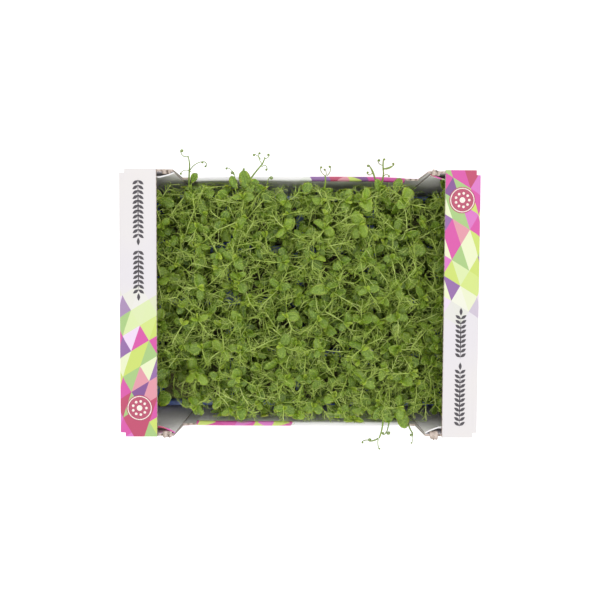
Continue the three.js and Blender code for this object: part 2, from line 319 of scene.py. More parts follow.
# %% [markdown]
# ## The print
# The outside carries a skewed lattice of tiles, each split into two, in magenta, lime, violet and cream. It
# runs round the folds, so it needs a coordinate that does the same. Along an end wall and over its shelf, the
# distance |x| - z grows evenly on both, because x stands still on the wall and z on the shelf. The long sides
# use |y| - z in the same way. The print is strong in two opposite corners of the tray and fades to white
# towards the other two. Each tile picks its ink by chance, from limes and creams first and from magentas and
# violets nearer the corner.

# %% Printed liner
TILE_LONG, TILE_WIDE = 27 * MM, 23 * MM
SKEW_V, SKEW_U = 0.72, 0.5  # how far the two families of lines lean
BY_CHANCE = 0.55  # how much of a tile's ink is chance; the rest is nearness to the corner
INKS = [
    "#DCDEC9", "#C9D79D", "#C2D277", "#DAC7DE", "#BBCC60", "#865C98", "#D6DCB5", "#99B973",
    "#C96AB4", "#BBCC60", "#C64598", "#CF8A97", "#774586", "#C64598", "#B0395E", "#BD378A",
]


def tile_of(tree, u, v):
    """Which tile a point is in, and the place of the tile's middle along u. Two families of lines, a = u + sv
    and b = tu - v, make a skewed lattice, and each cell is split where the fractions of a and b are equal.
    The middle of a half is one and two thirds along, and u follows from a and b as (a + sb) / (1 + st)."""
    a = add(tree, "Math ADD", u, add(tree, "Math MULTIPLY", v, SKEW_V))
    b = add(tree, "Math SUBTRACT", add(tree, "Math MULTIPLY", u, SKEW_U), v)
    part_a, part_b = add(tree, "Math FRACT", a), add(tree, "Math FRACT", b)
    whole_a, whole_b = add(tree, "Math FLOOR", a), add(tree, "Math FLOOR", b)
    upper = add(tree, "Math GREATER_THAN", part_a, part_b)
    third = add(tree, "Math DIVIDE", upper, 3.0)
    middle_a = add(tree, "Math ADD", add(tree, "Math ADD", whole_a, third), 1 / 3)
    middle_b = add(tree, "Math ADD", add(tree, "Math SUBTRACT", whole_b, third), 2 / 3)
    both = add(tree, "Math ADD", middle_a, add(tree, "Math MULTIPLY", middle_b, SKEW_V))
    number = add(tree, "CombineXYZ", {"X": whole_a, "Y": whole_b, "Z": add(tree, "Math ADD", upper, 17.0)})
    return number, add(tree, "Math DIVIDE", both, 1 + SKEW_V * SKEW_U)


def printed_liner(name, around_x, fade, growth, paper):
    """around_x: the fold runs along Y, as at the ends. Otherwise it runs along X, as at the long sides. fade:
    the places along the run where the ink begins and is full. growth: how soon the later inks come. paper:
    its two whites."""
    made, tree, shader = new_material(name, Roughness=0.42)
    vector = add(tree, "TexCoord").outputs["Object"]
    x, y, z = add(tree, "SeparateXYZ", vector).outputs
    across, run = (x, y) if around_x else (y, x)
    unrolled = add(tree, "Math SUBTRACT", add(tree, "Math ABSOLUTE", across), z)
    u = add(tree, "Math DIVIDE", run, TILE_WIDE)
    v = add(tree, "Math DIVIDE", unrolled, TILE_LONG)
    tile, middle = tile_of(tree, u, v)
    pick = add(tree, "TexWhiteNoise", {"Vector": tile}, noise_dimensions="3D")
    width = add(tree, "Math MULTIPLY", middle, TILE_WIDE)
    side = add(tree, "Math MULTIPLY", width, add(tree, "Math SIGN", across))
    grown = add(tree, "Math MAXIMUM", add(tree, "Math MULTIPLY", side, growth), 0.0)
    late = add(tree, "Math MINIMUM", grown, 1 - BY_CHANCE)
    place = add(tree, "Math ADD", add(tree, "Math MULTIPLY", pick, BY_CHANCE), late, use_clamp=True)
    stops = [(number / len(INKS), colour) for number, colour in enumerate(INKS)]
    ink = add(tree, "ValToRGB", place, stops=stops, interpolation="CONSTANT")
    limits = {"Value": side, "From Min": fade[0], "From Max": fade[1], "To Min": 0.0, "To Max": 0.97}
    share = add(tree, "MapRange", limits, interpolation_type="SMOOTHSTEP")
    cloud = add(tree, "TexNoise", {"Vector": vector, "Scale": 8.0, "Detail": 2.0})
    white = add(tree, "ValToRGB", cloud, stops=[(0.35, paper[0]), (0.65, paper[1])])
    mixed = add(tree, "Mix", {0: share, 6: white, 7: ink}, data_type="RGBA")
    plug(shader, {"Base Color": mixed.outputs[2]})
    paper_bump(tree, shader, vector, 0.06)
    return made


END_PRINT = printed_liner("end_print", True, (-20 * MM, 16 * MM), 0.42 / (140 * MM), ("#D1CDD2", "#D5D1D0"))
SIDE_PRINT = printed_liner("side_print", False, (4 * MM, 22 * MM), 0.45 / (40 * MM), ("#E0DFE3", "#E4E3E2"))
print(len(INKS), "inks on tiles of", TILE_WIDE / MM, "by", TILE_LONG / MM, "mm")

# %% [markdown]
# ## Board as a thick sheet
# A carton is one sheet that goes round corners, so each panel is drawn as its middle surface: a grid of
# points that follows the folds. Neighbouring grids are welded where they meet, and then the sheet gets its
# thickness. A Solidify modifier could do that, but doing it here lets the outside, the inside and the cut
# edge each have their own material.

# %% Welding and thickening


def weld(points, faces):
    """Points in the same place, to a thousandth of a millimetre, become one."""
    _, first, number = np.unique(np.round(points, 3), axis=0, return_index=True, return_inverse=True)
    return points[first], [number.ravel()[f] for f in faces]


def unit(vectors):
    """Each vector with a length of one."""
    return vectors / np.maximum(np.linalg.norm(vectors, axis=-1, keepdims=True), 1e-12)


def surface_normals(points, faces):
    """At each point, the mean of the normals of the faces round it."""
    total = np.zeros_like(points)
    for f in faces:
        a, b, c = (points[f[:, f.shape[1] * k // 3]] for k in range(3))
        normal = unit(np.cross(b - a, c - a))
        for k in range(f.shape[1]):
            np.add.at(total, f[:, k], normal)
    return unit(total)


def thicken(points, faces, thickness):
    """The closed sheet whose middle surface is given: the surface moved half the thickness each way, and
    quads along every open edge. Returns the points, the faces, and how many faces lie on the front, back and
    rim."""
    count = len(points)
    shift = surface_normals(points, faces) * thickness / 2
    sides = np.concatenate([np.stack([f, np.roll(f, -1, axis=1)], -1).reshape(-1, 2) for f in faces])
    one_way = sides[:, 0] * count + sides[:, 1]
    other_way = sides[:, 1] * count + sides[:, 0]
    start, end = sides[~np.isin(one_way, other_way)].T
    rim = np.stack([end, start, start + count, end + count], -1)
    backs = [f[:, ::-1] + count for f in faces]
    return np.concatenate([points + shift, points - shift]), [*faces, *backs, rim]


tile = thicken(np.array([[0, 0, 0], [1, 0, 0], [1, 1, 0], [0, 1, 0.0]]), [np.array([[0, 1, 2, 3]])], 0.2)
print("a thickened square has", sum(len(f) for f in tile[1]), "faces and is", np.ptp(tile[0][:, 2]), "thick")

# %% [markdown]
# A piece of board has four zones, one for each material: the printed outside of the ends and of the long
# sides, the plain inside, and the cut edge. Its folds are paths with rounded corners.

# %% Pieces of board
BOARD = 2.4
TOP_BAND = 1.0  # edges no further than this below the highest one count as the top edge
STRAIGHT = -0.9999  # below this cosine between the ways back and on, a corner is none
OUTSIDE_END, OUTSIDE_SIDE, INSIDE, EDGE = range(4)


def board_piece(name, parts, thickness=BOARD, back=INSIDE, top_edge=EDGE, shape=None):
    """A piece of board from parts, each (points, faces, the zone of its outside). Faces point outwards. back
    is the zone of the other face, top_edge that of the highest edges, and shape a last change of the middle
    surface's points."""
    offsets = np.cumsum([0] + [len(points) for points, _, _ in parts])
    faces = [f + start for (_, f, _), start in zip(parts, offsets)]
    points, faces = weld(np.concatenate([points for points, _, _ in parts]), faces)
    outside = np.concatenate([np.full(len(f), zone) for f, (_, _, zone) in zip(faces, parts)])
    points, faces = thicken(shape(points) if shape else points, faces, thickness)
    heights = points[faces[-1], 2].mean(1)
    rim = np.where(heights > points[:, 2].max() - TOP_BAND, top_edge, EDGE)
    zones = np.concatenate([outside, np.full(len(outside), back), rim])
    return make_piece(name, points, faces, [END_PRINT, SIDE_PRINT, WHITE_LINER, KRAFT_EDGE], zones)


def rounded(corners, radius, steps=4):
    """A path through the corners, with each inner corner replaced by an arc of the radius. Where the path
    goes straight on, the corner stays one point."""
    corners = np.array(corners, float)
    path = [corners[0]]
    for before, here, after in zip(corners, corners[1:], corners[2:]):
        back, on = unit(before - here), unit(after - here)
        if np.dot(back, on) < STRAIGHT:
            path.append(here)
            continue
        half = math.acos(np.clip(np.dot(back, on), -1, 1)) / 2
        middle = here + unit(back + on) * radius / math.sin(half)
        begin, end = here + back * radius / math.tan(half), here + on * radius / math.tan(half)
        share = np.linspace(0, 1, steps + 1)[:, None]
        path.extend(middle + unit((begin - middle) * (1 - share) + (end - middle) * share) * radius)
    path.append(corners[-1])
    return np.array(path)


print("board", BOARD, "mm thick")

# %% [markdown]
# ## The carton
# The walls are one sheet that runs round the tray. Each column of its grid has a place on the ground plan and
# a height of its own: full height at the ends and corners, low along the middle of the long sides. At the
# bottom the sheet bends in to the base. At the ends it goes on over a short sloping strip into the shelf, and
# along the low sides it rolls over and comes down again inside. All of these grids share their border points,
# so they weld into one.

# %% Ground plan and heights
CORNER = 8.0  # the outer radius of the upright corners
SIDE_TOP, STEP_TOP = 96.0, 99.0
SIDE_LOW_X, STEP_X, SIDE_HIGH_X, SHELF_X = 126.0, 141.5, 143.0, 160.0
UNDER_SHELF = TOP - BOARD - 0.2
ROLL = 1.6  # the radius of the rolled-over edge, at the board's middle
BEND = 2.4  # the same for the bend at the base
MIDDLE = BOARD / 2
core_x, core_y = HALF_LENGTH - CORNER, HALF_WIDTH - CORNER
wall_out = CORNER - MIDDLE  # how far the wall's middle stands outside the core rectangle
roll_z = SIDE_TOP - MIDDLE - ROLL
strip_z = TOP - 7.0  # the end walls' grid ends here and the shelf's begins

outer_x = np.array([STEP_X, SIDE_HIGH_X, SHELF_X, core_x])
side_x = np.concatenate([-outer_x[::-1], np.linspace(-SIDE_LOW_X, SIDE_LOW_X, 13), outer_x])
end_y = np.linspace(-core_y, core_y, 9)
quarter = np.radians([22.5, 45, 67.5])


def side_height(x):
    """The height of the grid along a long side: low, a step, and then full height."""
    return np.interp(np.abs(x), [SIDE_LOW_X, STEP_X, SIDE_HIGH_X], [roll_z, STEP_TOP, UNDER_SHELF])


def plan_of_walls():
    """For each column, counter-clockwise from the near left corner: its place on the core rectangle, its
    outward direction, its height and its zone."""
    columns = []
    for side in (-1, 1):
        run = side_x if side < 0 else side_x[::-1]
        columns += [((x, side * core_y), (0, side), side_height(x), OUTSIDE_SIDE) for x in run]
        corner = (-side * core_x, side * core_y)
        for angle in quarter - math.pi / 2 + (0 if side < 0 else math.pi):
            columns.append((corner, (math.cos(angle), math.sin(angle)), strip_z, OUTSIDE_SIDE))
        run = end_y if side < 0 else end_y[::-1]
        columns += [((-side * core_x, y), (-side, 0), strip_z, OUTSIDE_END) for y in run]
        corner = (-side * core_x, -side * core_y)
        for angle in quarter + (0 if side < 0 else math.pi):
            columns.append((corner, (math.cos(angle), math.sin(angle)), strip_z, OUTSIDE_SIDE))
    base, out, height, zone = (np.array(values, float) for values in zip(*columns))
    return base, out, height, zone.astype(int)


ground, _, tops, _ = plan_of_walls()
print(len(ground), "columns round the walls,", tops.min().round(1), "to", tops.max().round(1), "mm high")

# %% [markdown]
# The walls' grid follows these columns, first round the bottom bend and then up to their tops. The base is
# one polygon with all the columns as its corners.

# %% Walls


def wall_sheet():
    """Rows go up: round the bottom bend, then evenly to each column's height."""
    base, out, height, zone = plan_of_walls()
    bend = np.radians(np.linspace(0, 90, 5))
    reach = np.concatenate([wall_out - BEND + BEND * np.sin(bend), np.full(6, wall_out)])
    low = MIDDLE + BEND * (1 - np.cos(bend))
    share = np.linspace(0, 1, 7)[1:, None]
    z = np.concatenate([np.repeat(low[:, None], len(base), 1), low[-1] + share * (height - low[-1])])
    plan = base + out * reach[:, None, None]
    points = np.concatenate([plan, z[..., None]], -1)
    rows, columns = z.shape
    faces = grid_faces(rows, columns, closed=True)
    owner = np.tile(np.where(zone == np.roll(zone, -1), zone, OUTSIDE_SIDE), rows - 1)
    bottom = np.arange(columns)[::-1][None]
    flat = points.reshape(-1, 3)
    walls = [(flat, faces[owner == kind], kind) for kind in (OUTSIDE_END, OUTSIDE_SIDE)]
    return walls + [(flat, bottom, INSIDE)]


print("walls", len(wall_sheet()[0][0]), "points")

# %% [markdown]
# At the ends the sheet goes on over a narrow strip, which slopes outwards between two folds, and then lies
# flat as the shelf. The two shelves have come out a little different, as folded board does.

# %% Shelves
NOTCH = 4.5  # the strip stops this far short of the shelf's ends
FOLD, FOLD_BELOW, FOLD_IN = 0.5, 3.4, 2.4  # the folds: radius, and where the lower and the upper one are
FOLD_DROP, BULGE = 0.8, {-1: 2.8, 1: 1.7}  # the strip between the folds of each shelf stands out a little
SHELF_OVER = {-1: 0.0, 1: 0.8}  # how far each shelf stands out past the long sides
SHELF_SHORT = {-1: 1.1, 1: 1.7}  # and how much narrower it has come out


def shelf_sheets(end):
    """The strip that slopes up from an end wall, and the shelf, which is wider by the corner at both
    sides."""
    strip_x = wall_out + BULGE[end]
    edge = [(wall_out, strip_z), (strip_x, TOP - FOLD_BELOW), (strip_x, TOP - FOLD_DROP - MIDDLE)]
    edge.append((wall_out - FOLD_IN, TOP - MIDDLE))
    edge.append((SHELF_X + SHELF_SHORT[end] - core_x, TOP - MIDDLE))
    profile = rounded(edge, FOLD)
    strip, shelf = profile[:-1], np.linspace(profile[-2], profile[-1], 4)
    short = HALF_WIDTH - NOTCH
    run = np.concatenate([[-short], end_y, [short]]) * end
    reach = HALF_WIDTH + SHELF_OVER[end]
    wide = np.concatenate([[-reach, -short], end_y, [short, reach]]) * end
    made = []
    for path, ys in ((strip, run), (shelf, wide)):
        out, z = path[:, 0, None], path[:, 1, None]
        ones = np.ones((len(path), len(ys)))
        points = np.stack([end * (core_x + out) * ones, ys * ones, z * ones], -1).reshape(-1, 3)
        made.append((points, grid_faces(len(path), len(ys)), OUTSIDE_END))
    return made


print("shelves", [round(HALF_LENGTH - SHELF_X - SHELF_SHORT[end], 1) for end in (-1, 1)], "mm wide")

# %% [markdown]
# Along the low sides the sheet rolls over and comes down again inside.

# %% Rolled-over edges
ROLL_POWER, ROLL_FOOT = 0.45, 4.0  # how flat the top is, and how far down its inner layer reaches


def roll_sheet(side):
    """The rolled-over top of a long side, which is printed, and the plain layer that comes down inside it.
    Seen from the end, the top is half a superellipse: the sine and cosine are taken to a power below one,
    which flattens it."""
    turn = np.radians(np.linspace(0, 180, 9))
    inner = wall_out - 2 * ROLL
    over, up = (np.sign(np.round(f(turn), 6)) * np.abs(f(turn)) ** ROLL_POWER for f in (np.cos, np.sin))
    reach = np.concatenate([wall_out - ROLL + ROLL * over, np.full(5, inner)])
    z = np.concatenate([roll_z + ROLL * up, np.linspace(roll_z, ROLL_FOOT, 6)[1:]])
    run = side_x[np.abs(side_x) <= SIDE_LOW_X] * -side
    ones = np.ones((len(z), len(run)))
    points = np.stack([run * ones, side * (core_y + reach[:, None]) * ones, z[:, None] * ones], -1)
    faces, flat = grid_faces(*ones.shape), points.reshape(-1, 3)
    rolled = (len(turn) - 1) * (len(run) - 1)
    return [(flat, faces[:rolled], OUTSIDE_SIDE), (flat, faces[rolled:], INSIDE)]


print("rolled-over edges", 2 * ROLL + BOARD, "mm thick")

# %% [markdown]
# The full pockets press the long sides outwards, so these bow, most of all at their tops. The bow is added
# after the sheets have been welded, and before they get their thickness.

# %% The carton
FAR_BOW, NEAR_BOW = 3.4, 1.6  # how far the tops of the two long sides stand out at their middle


def bowed(points):
    """The long sides bow outwards, a little more towards the right. The bow goes as 1 - (x / l)^6 along them,
    where l is the start of the full height, and as the height to the power 1.5."""
    x, y, z = points.T
    along = np.clip(1 - (x / SIDE_HIGH_X) ** 6, 0, None) * (1 + 0.2 * x / SIDE_HIGH_X)
    bow = np.where(y > 0, FAR_BOW, -NEAR_BOW) * along * np.clip(z / SIDE_TOP, 0, 1) ** 1.5
    return np.column_stack([x, y + bow * (np.abs(y) > core_y), z])


carton_parts = wall_sheet()
for direction in (-1, 1):
    carton_parts += shelf_sheets(direction)
    carton_parts += roll_sheet(direction)
carton = board_piece("carton_board", carton_parts, shape=bowed)
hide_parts("carton")
print("carton", len(carton.data.polygons), "faces")

# %% [markdown]
# Each end wall has a flap at both ends, folded round the corner and glued to the long side from within. It is
# full height, so it stiffens the corner where the next tray stands. Gluing has crushed it thinner than the
# walls. Glue holds it only lower down, and at its top it has sprung inwards, except at its free edge. Its
# outside is printed as the walls are, which shows as a line of colour in the gap.

# %% Corner flaps
FLAP_BOARD, FLAP_GAP, FLAP_HEIGHT, CREASE = 1.4, 0.4, UNDER_SHELF - 0.3, 117.0
# For each corner: where the flap ends, and how far its top has moved inwards, which begins at the crease
FLAPS = {(-1, 1): (141.5, 5.0), (-1, -1): (141.5, 7.0), (1, 1): (145.5, 6.0), (1, -1): (143.0, 7.0)}
FLAP_FOOT = 112  # where the flap ends on the end wall
FLAP_TURN = 1.5  # the radius where it turns the corner
FLAP_COLUMNS = 162, 158, 154, 150, 147.5  # places along the long side where it can bend
FLAP_FREE = 16  # over this way from its free edge the flap comes away from the wall


def flap(end, side):
    """The gap to the wall grows above the crease with the height to the power 1.5 and, from the free edge on,
    with the way along to the power 0.8."""
    inner_x, sprung = FLAPS[end, side]
    near_wall = HALF_LENGTH - BOARD - FLAP_BOARD / 2
    near_side = HALF_WIDTH - BOARD - FLAP_GAP - FLAP_BOARD / 2
    run = [(x, near_side) for x in (near_wall, *FLAP_COLUMNS, inner_x)]
    plan = rounded([(near_wall, FLAP_FOOT), *run], FLAP_TURN)
    low, high = np.linspace(BOARD + 0.6, CREASE, 6), np.linspace(CREASE, FLAP_HEIGHT, 8)
    z = np.concatenate([low, high[1:]])[:, None]
    ones = np.ones((len(z), len(plan)))
    height = np.clip((z - CREASE) / (FLAP_HEIGHT - CREASE), 0, 1) ** 1.5
    along = np.clip((plan[:, 0] - inner_x) / FLAP_FREE, 0, 1) ** 0.8
    inwards = sprung * height * along * (plan[:, 1] > near_side - 1)
    points = np.stack([end * plan[:, 0] * ones, side * (plan[:, 1] - inwards), z * ones], -1).reshape(-1, 3)
    faces = grid_faces(*ones.shape)
    return points, faces if end * side > 0 else faces[:, ::-1], OUTSIDE_SIDE


flap_parts = [flap(end, side) for end in (-1, 1) for side in (-1, 1)]
flaps = board_piece("corner_flaps", flap_parts, FLAP_BOARD, top_edge=OUTSIDE_SIDE)
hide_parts("carton")
print(flaps.name, len(flaps.data.polygons), "faces")

# %% [markdown]
# Beside each flap the top edge of the wall is ragged: a torn tab of bare board clings to it, and in three
# corners curls over it.

# %% Torn tabs
# The torn tabs: first and last x, and how far each reaches past the wall's inner face
TABS = {
    (-1, 1): (145.5, 155, 2.6),
    (-1, -1): (145, 155.5, 5.4),
    (1, 1): (146.5, 155.5, 4.6),
    (1, -1): (148, 157.5, 7.4),
}
TAB_BOARD = 1.2
TEAR_SEED = 77


def torn_tab(end, side, draw):
    """A strip of bare board that rises between flap and wall and bends outwards over the wall's top edge. Its
    end is ragged and its face lumpy."""
    first, last, over = TABS[end, side]
    inside = HALF_WIDTH - BOARD - FLAP_BOARD / 2
    behind = inside - FLAPS[end, side][1] * 0.2
    rise = [(behind, TOP - 8), (behind, TOP - 2.6)]
    path = rounded([*rise, (inside + over * 0.7, TOP - 1.2), (inside + over, TOP - 2)], 1, 3)
    x = np.linspace(first, last, 8)
    shape = (len(path), len(x))
    high = np.linspace(0, 1, len(path))[:, None] ** 3
    reach = path[:, 0, None] + high * draw.uniform(-2.6, 0.5, (1, len(x)))
    along = x + high * draw.uniform(-0.8, 0.8, shape) + high * (x.mean() - x) * 0.3
    z = path[:, 1, None] + draw.uniform(-0.8, 0.3, shape) * high
    points = np.stack([end * along * np.ones(shape), side * reach * np.ones(shape), z], -1)
    faces = grid_faces(*shape)
    return points.reshape(-1, 3), faces if end * side > 0 else faces[:, ::-1], EDGE


tear = np.random.default_rng(TEAR_SEED)
tab_parts = [torn_tab(end, side, tear) for end in (-1, 1) for side in (-1, 1)]
tabs = board_piece("torn_tabs", tab_parts, TAB_BOARD, back=EDGE)
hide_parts("carton")
print(tabs.name, len(tabs.data.polygons), "faces")

# %% [markdown]
# ## Ornaments on the shelves
# A sprig in dark grey ink runs along the plain half of each shelf, and a round badge sits in the coloured
# half. Ink has no height to speak of, so each motif is a plate a tenth of a millimetre thick that lies on the
# board. Every leaf of the sprig is the same outline, turned and moved.

# %% Inks
INK_THICKNESS = 0.1
INK_SUNK = 0.88  # how bright sunken ink is, as a share of its colour


def ink(name, colour):
    """Ink that is a little darker in places, where it has sunk into the paper."""
    made, tree, shader = new_material(name, Roughness=0.5)
    vector = add(tree, "TexCoord").outputs["Object"]
    grain = add(tree, "TexNoise", {"Vector": vector, "Scale": 900.0, "Detail": 2.0})
    darker = "#" + "".join(f"{int(int(colour[i : i + 2], 16) * INK_SUNK):02X}" for i in (1, 3, 5))
    plug(shader, {"Base Color": add(tree, "ValToRGB", grain, stops=[(0.35, darker), (0.65, colour)])})
    return made


INK_COLOURS = {"grey_ink": "#4A464B", "rose_ink": "#B5506B", "cream_ink": "#F3E9DF"}
GREY_INK, ROSE_INK, CREAM_INK = (ink(name, colour) for name, colour in INK_COLOURS.items())
print(len(INK_COLOURS), "inks,", INK_THICKNESS, "mm thick")

# %% [markdown]
# A sprig has pairs of leaves, one more leaf at its end, and a stem that is a very long thin leaf. The two
# shelves carry the same sprigs, turned by half a turn.

# %% Sprigs
SPRIG_X, SPRIG_STEP, SPRIG_TURN = 181.0, 5.4, 0.95
SPRIG_LEAF, SPRIG_WIDE, STEM_WIDE = 7.6, 3.4, 1.3
SPRIG_RUNS = [(-139, -68), (-61, -8)]  # along the shelf, on its plain half


def leaf_outline(length, width, count=7):
    """A pointed oval from the origin along +X: the half width goes as the sine of the way along."""
    way = np.linspace(0, math.pi, count)
    upper = np.stack([length * way / math.pi, width / 2 * np.sin(way)], -1)
    return np.concatenate([upper[::-1], (upper * [1, -1])[1:-1]])[::-1]


def ink_plates(outlines, height):
    """Outlines with the same number of points, lying on the shelf, as thin closed plates."""
    flat = np.array(outlines)
    points = np.concatenate([flat, np.full((*flat.shape[:2], 1), height)], -1).reshape(-1, 3)
    faces = np.arange(len(points)).reshape(flat.shape[:2])
    return thicken(points, [faces], INK_THICKNESS)


def along_run(outline, place):
    """The outline turned to point along the shelf, and moved to its place."""
    return outline @ np.array([[0, 1], [-1, 0]]) + [SPRIG_X, place]


def sprig(run_start, run_end, end):
    """Pairs of leaves along a stem that runs in Y. end turns the whole by half a turn for the left shelf."""
    places = np.arange(run_start + 2, run_end - SPRIG_LEAF, SPRIG_STEP)
    outlines = []
    for place in places:
        for side in (-1, 1):
            angle = math.pi / 2 - side * SPRIG_TURN
            turn = np.array([[math.cos(angle), math.sin(angle)], [-math.sin(angle), math.cos(angle)]])
            outlines.append(leaf_outline(SPRIG_LEAF, SPRIG_WIDE) @ turn + [SPRIG_X, place])
    outlines.append(along_run(leaf_outline(SPRIG_LEAF + 1, SPRIG_WIDE), places[-1] + 4))
    outlines.append(along_run(leaf_outline(run_end - run_start - 6, STEM_WIDE), run_start))
    return [outline * end for outline in outlines]


for end, label in ((-1, "left"), (1, "right")):
    outlines = [o for run in SPRIG_RUNS for o in sprig(*run, end)]
    motif = make_piece(f"sprig_{label}", *ink_plates(outlines, TOP + INK_THICKNESS), [GREY_INK])
    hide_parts("carton")
    print(motif.name, len(outlines), "outlines")

# %% [markdown]
# A badge is three discs of shrinking size, one on another, with a ring of dots round a middle dot. Circles
# are outlines too, so they become plates in the same way.

# %% Badges
BADGE_PLACE, BADGE_RADIUS = (180.5, 117.5), 14.6
BADGE_DOTS, DOT_RING, DOT, MIDDLE_DOT = 9, 7.6, 1.5, 3.2


def circle(radius, count, centre=(0, 0)):
    """Evenly spread points on a circle."""
    angle = np.linspace(0, 2 * math.pi, count, endpoint=False)
    return np.stack([radius * np.cos(angle), radius * np.sin(angle)], -1) + centre


def badge(end, label):
    """The discs and dots of one shelf's badge. Each disc and the dots are a piece of their own."""
    centre = np.array(BADGE_PLACE) * end
    layers = [(1.0, ROSE_INK), (0.93, CREAM_INK), (0.86, ROSE_INK)]
    for level, (size, colour) in enumerate(layers, 1):
        disc = circle(BADGE_RADIUS * size, 48, centre)
        plate = ink_plates([disc], TOP + INK_THICKNESS * level)
        piece = make_piece(f"badge_{label}_{level}", *plate, [colour])
        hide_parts("carton")
    dots = [circle(DOT, 16, centre + spot) for spot in circle(DOT_RING, BADGE_DOTS)]
    dots.append(circle(MIDDLE_DOT, 16, centre))
    piece = make_piece(f"badge_{label}_dots", *ink_plates(dots, TOP + INK_THICKNESS * 4), [CREAM_INK])
    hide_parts("carton")


badge(-1, "left")
badge(1, "right")
print("a badge", 2 * BADGE_RADIUS, "mm across on each shelf")

# %% [markdown]
# ## The blue insert
# The insert is one sheet of polypropylene, drawn down over a mould while hot, so every edge is round. One
# cell is enough: rings of points go from the cell's border to the pocket's mouth, over the rounded edge, down
# the wall and across the floor. Copies of the cell share their borders and weld into one sheet, and a flange
# goes round the outside.

# %% Blue plastic


def navy_polypropylene():
    """Glossy, but never quite flat after forming, so highlights break up into small glints. Its colour is
    painted much paler than navy: painted light that makes up for the shade deep in the pockets.
    """
    made, tree, shader = new_material("navy_polypropylene", Roughness=0.14, IOR=1.49)
    vector = add(tree, "TexCoord").outputs["Object"]
    cloud = add(tree, "TexNoise", {"Vector": vector, "Scale": 30.0, "Detail": 3.0})
    # Mid to pale blue, paler than navy plastic is: painted light that makes up for the dim pockets
    colour = add(tree, "ValToRGB", cloud, stops=[(0.3, "#5470C2"), (0.7, "#A3B6EC")])
    ripple = add(tree, "TexNoise", {"Vector": vector, "Scale": 260.0, "Detail": 2.0})
    bump = add(tree, "Bump", {"Height": ripple, "Strength": 0.8, "Distance": 1.2 * MM})
    plug(shader, {"Base Color": colour, "Normal": bump})
    return made


NAVY_PLASTIC = navy_polypropylene()
print("one material for the insert:", NAVY_PLASTIC.name)

# %% [markdown]
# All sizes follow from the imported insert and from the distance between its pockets.

# %% Sizes of the insert
INSERT_LOW, INSERT_HIGH = box("insert_tray")
SHEET, MOUTH_EDGE, FLOOR_BEND = 0.8, 1.4, 3.5
MOUTH_CORNER, FLOOR_CORNER = 10.0, 8.0
centres = {p: (box(f"medium_{p}")[0][:2] + box(f"medium_{p}")[1][:2]) / 2 for p in POCKETS}
PITCH = np.array([centres["c2r1"][0] - centres["c1r1"][0], centres["c1r1"][1] - centres["c1r2"][1]])
MOUTH, FLOOR_SIZE = PITCH - 9.0, PITCH - 16.0  # the webs between pockets are 9 mm wide, 16 mm at the floor


def rounded_rectangle(size, corner, steps=6):
    """Points round a rectangle, counter-clockwise, steps + 1 on each corner's arc, and the arcs'
    directions."""
    angle = np.linspace(0, math.pi / 2, steps + 1)
    angles = np.concatenate([angle + k * math.pi / 2 for k in range(4)])
    heading = np.stack([np.cos(angles), np.sin(angles)], -1)
    signs = np.repeat([(1, 1), (-1, 1), (-1, -1), (1, -1)], steps + 1, axis=0)
    middle = signs * (np.array(size) / 2 - corner)
    return middle + heading * corner, heading, middle


print("mouth", MOUTH.round(1), "mm, floor", FLOOR_SIZE.round(1), "mm")

# %% [markdown]
# The border of a cell is where the directions of the mouth's points meet the cell's rectangle. So each ring
# has the same number of points, and one grid joins them all.

# %% One cell


def insert_cell():
    """The rings of one cell: x, y and z at each ring and column."""
    top, bottom = INSERT_HIGH[2] - SHEET / 2, INSERT_LOW[2] + SHEET / 2
    _, heading, middle = rounded_rectangle(MOUTH, MOUTH_CORNER)
    room = PITCH[0] / 2 - (MOUTH[0] / 2 - MOUTH_CORNER)
    border = middle + heading * room / np.abs(heading).max(1, keepdims=True)
    turn = np.radians(np.linspace(0, 90, 5))
    rings = [np.column_stack([border, np.full(len(border), top)])]
    for angle in turn:
        ring, _, _ = rounded_rectangle(MOUTH + 2 * MOUTH_EDGE * (1 - math.sin(angle)), MOUTH_CORNER)
        rings.append(np.column_stack([ring, np.full(len(ring), top - MOUTH_EDGE * (1 - math.cos(angle)))]))
    for share in np.linspace(0, 1, 6)[1:]:
        size = MOUTH + (FLOOR_SIZE - MOUTH) * share
        z = (top - MOUTH_EDGE) + (bottom + FLOOR_BEND - top + MOUTH_EDGE) * share
        rings.append(np.column_stack([rounded_rectangle(size, MOUTH_CORNER)[0], np.full(len(ring), z)]))
    for angle in turn[1:]:
        size = FLOOR_SIZE - 2 * FLOOR_BEND * (1 - math.cos(angle))
        z = bottom + FLOOR_BEND * (1 - math.sin(angle))
        rings.append(np.column_stack([rounded_rectangle(size, FLOOR_CORNER)[0], np.full(len(ring), z)]))
    return np.array(rings)


print("a cell has", insert_cell().shape[0], "rings of", insert_cell().shape[1], "points")

# %% [markdown]
# The flange goes out from the outer cells' border, over a soft shoulder, and down.

# %% The whole sheet
FLANGE_FOOT = 32.0
# Rings of the flange: how far out each is, as a share of the whole way, and how far down
FLANGE = [(0.0, 0.0), (0.5, 0.0), (0.85, 0.3), (1.0, 1.0), (1.0, INSERT_HIGH[2] - FLANGE_FOOT)]


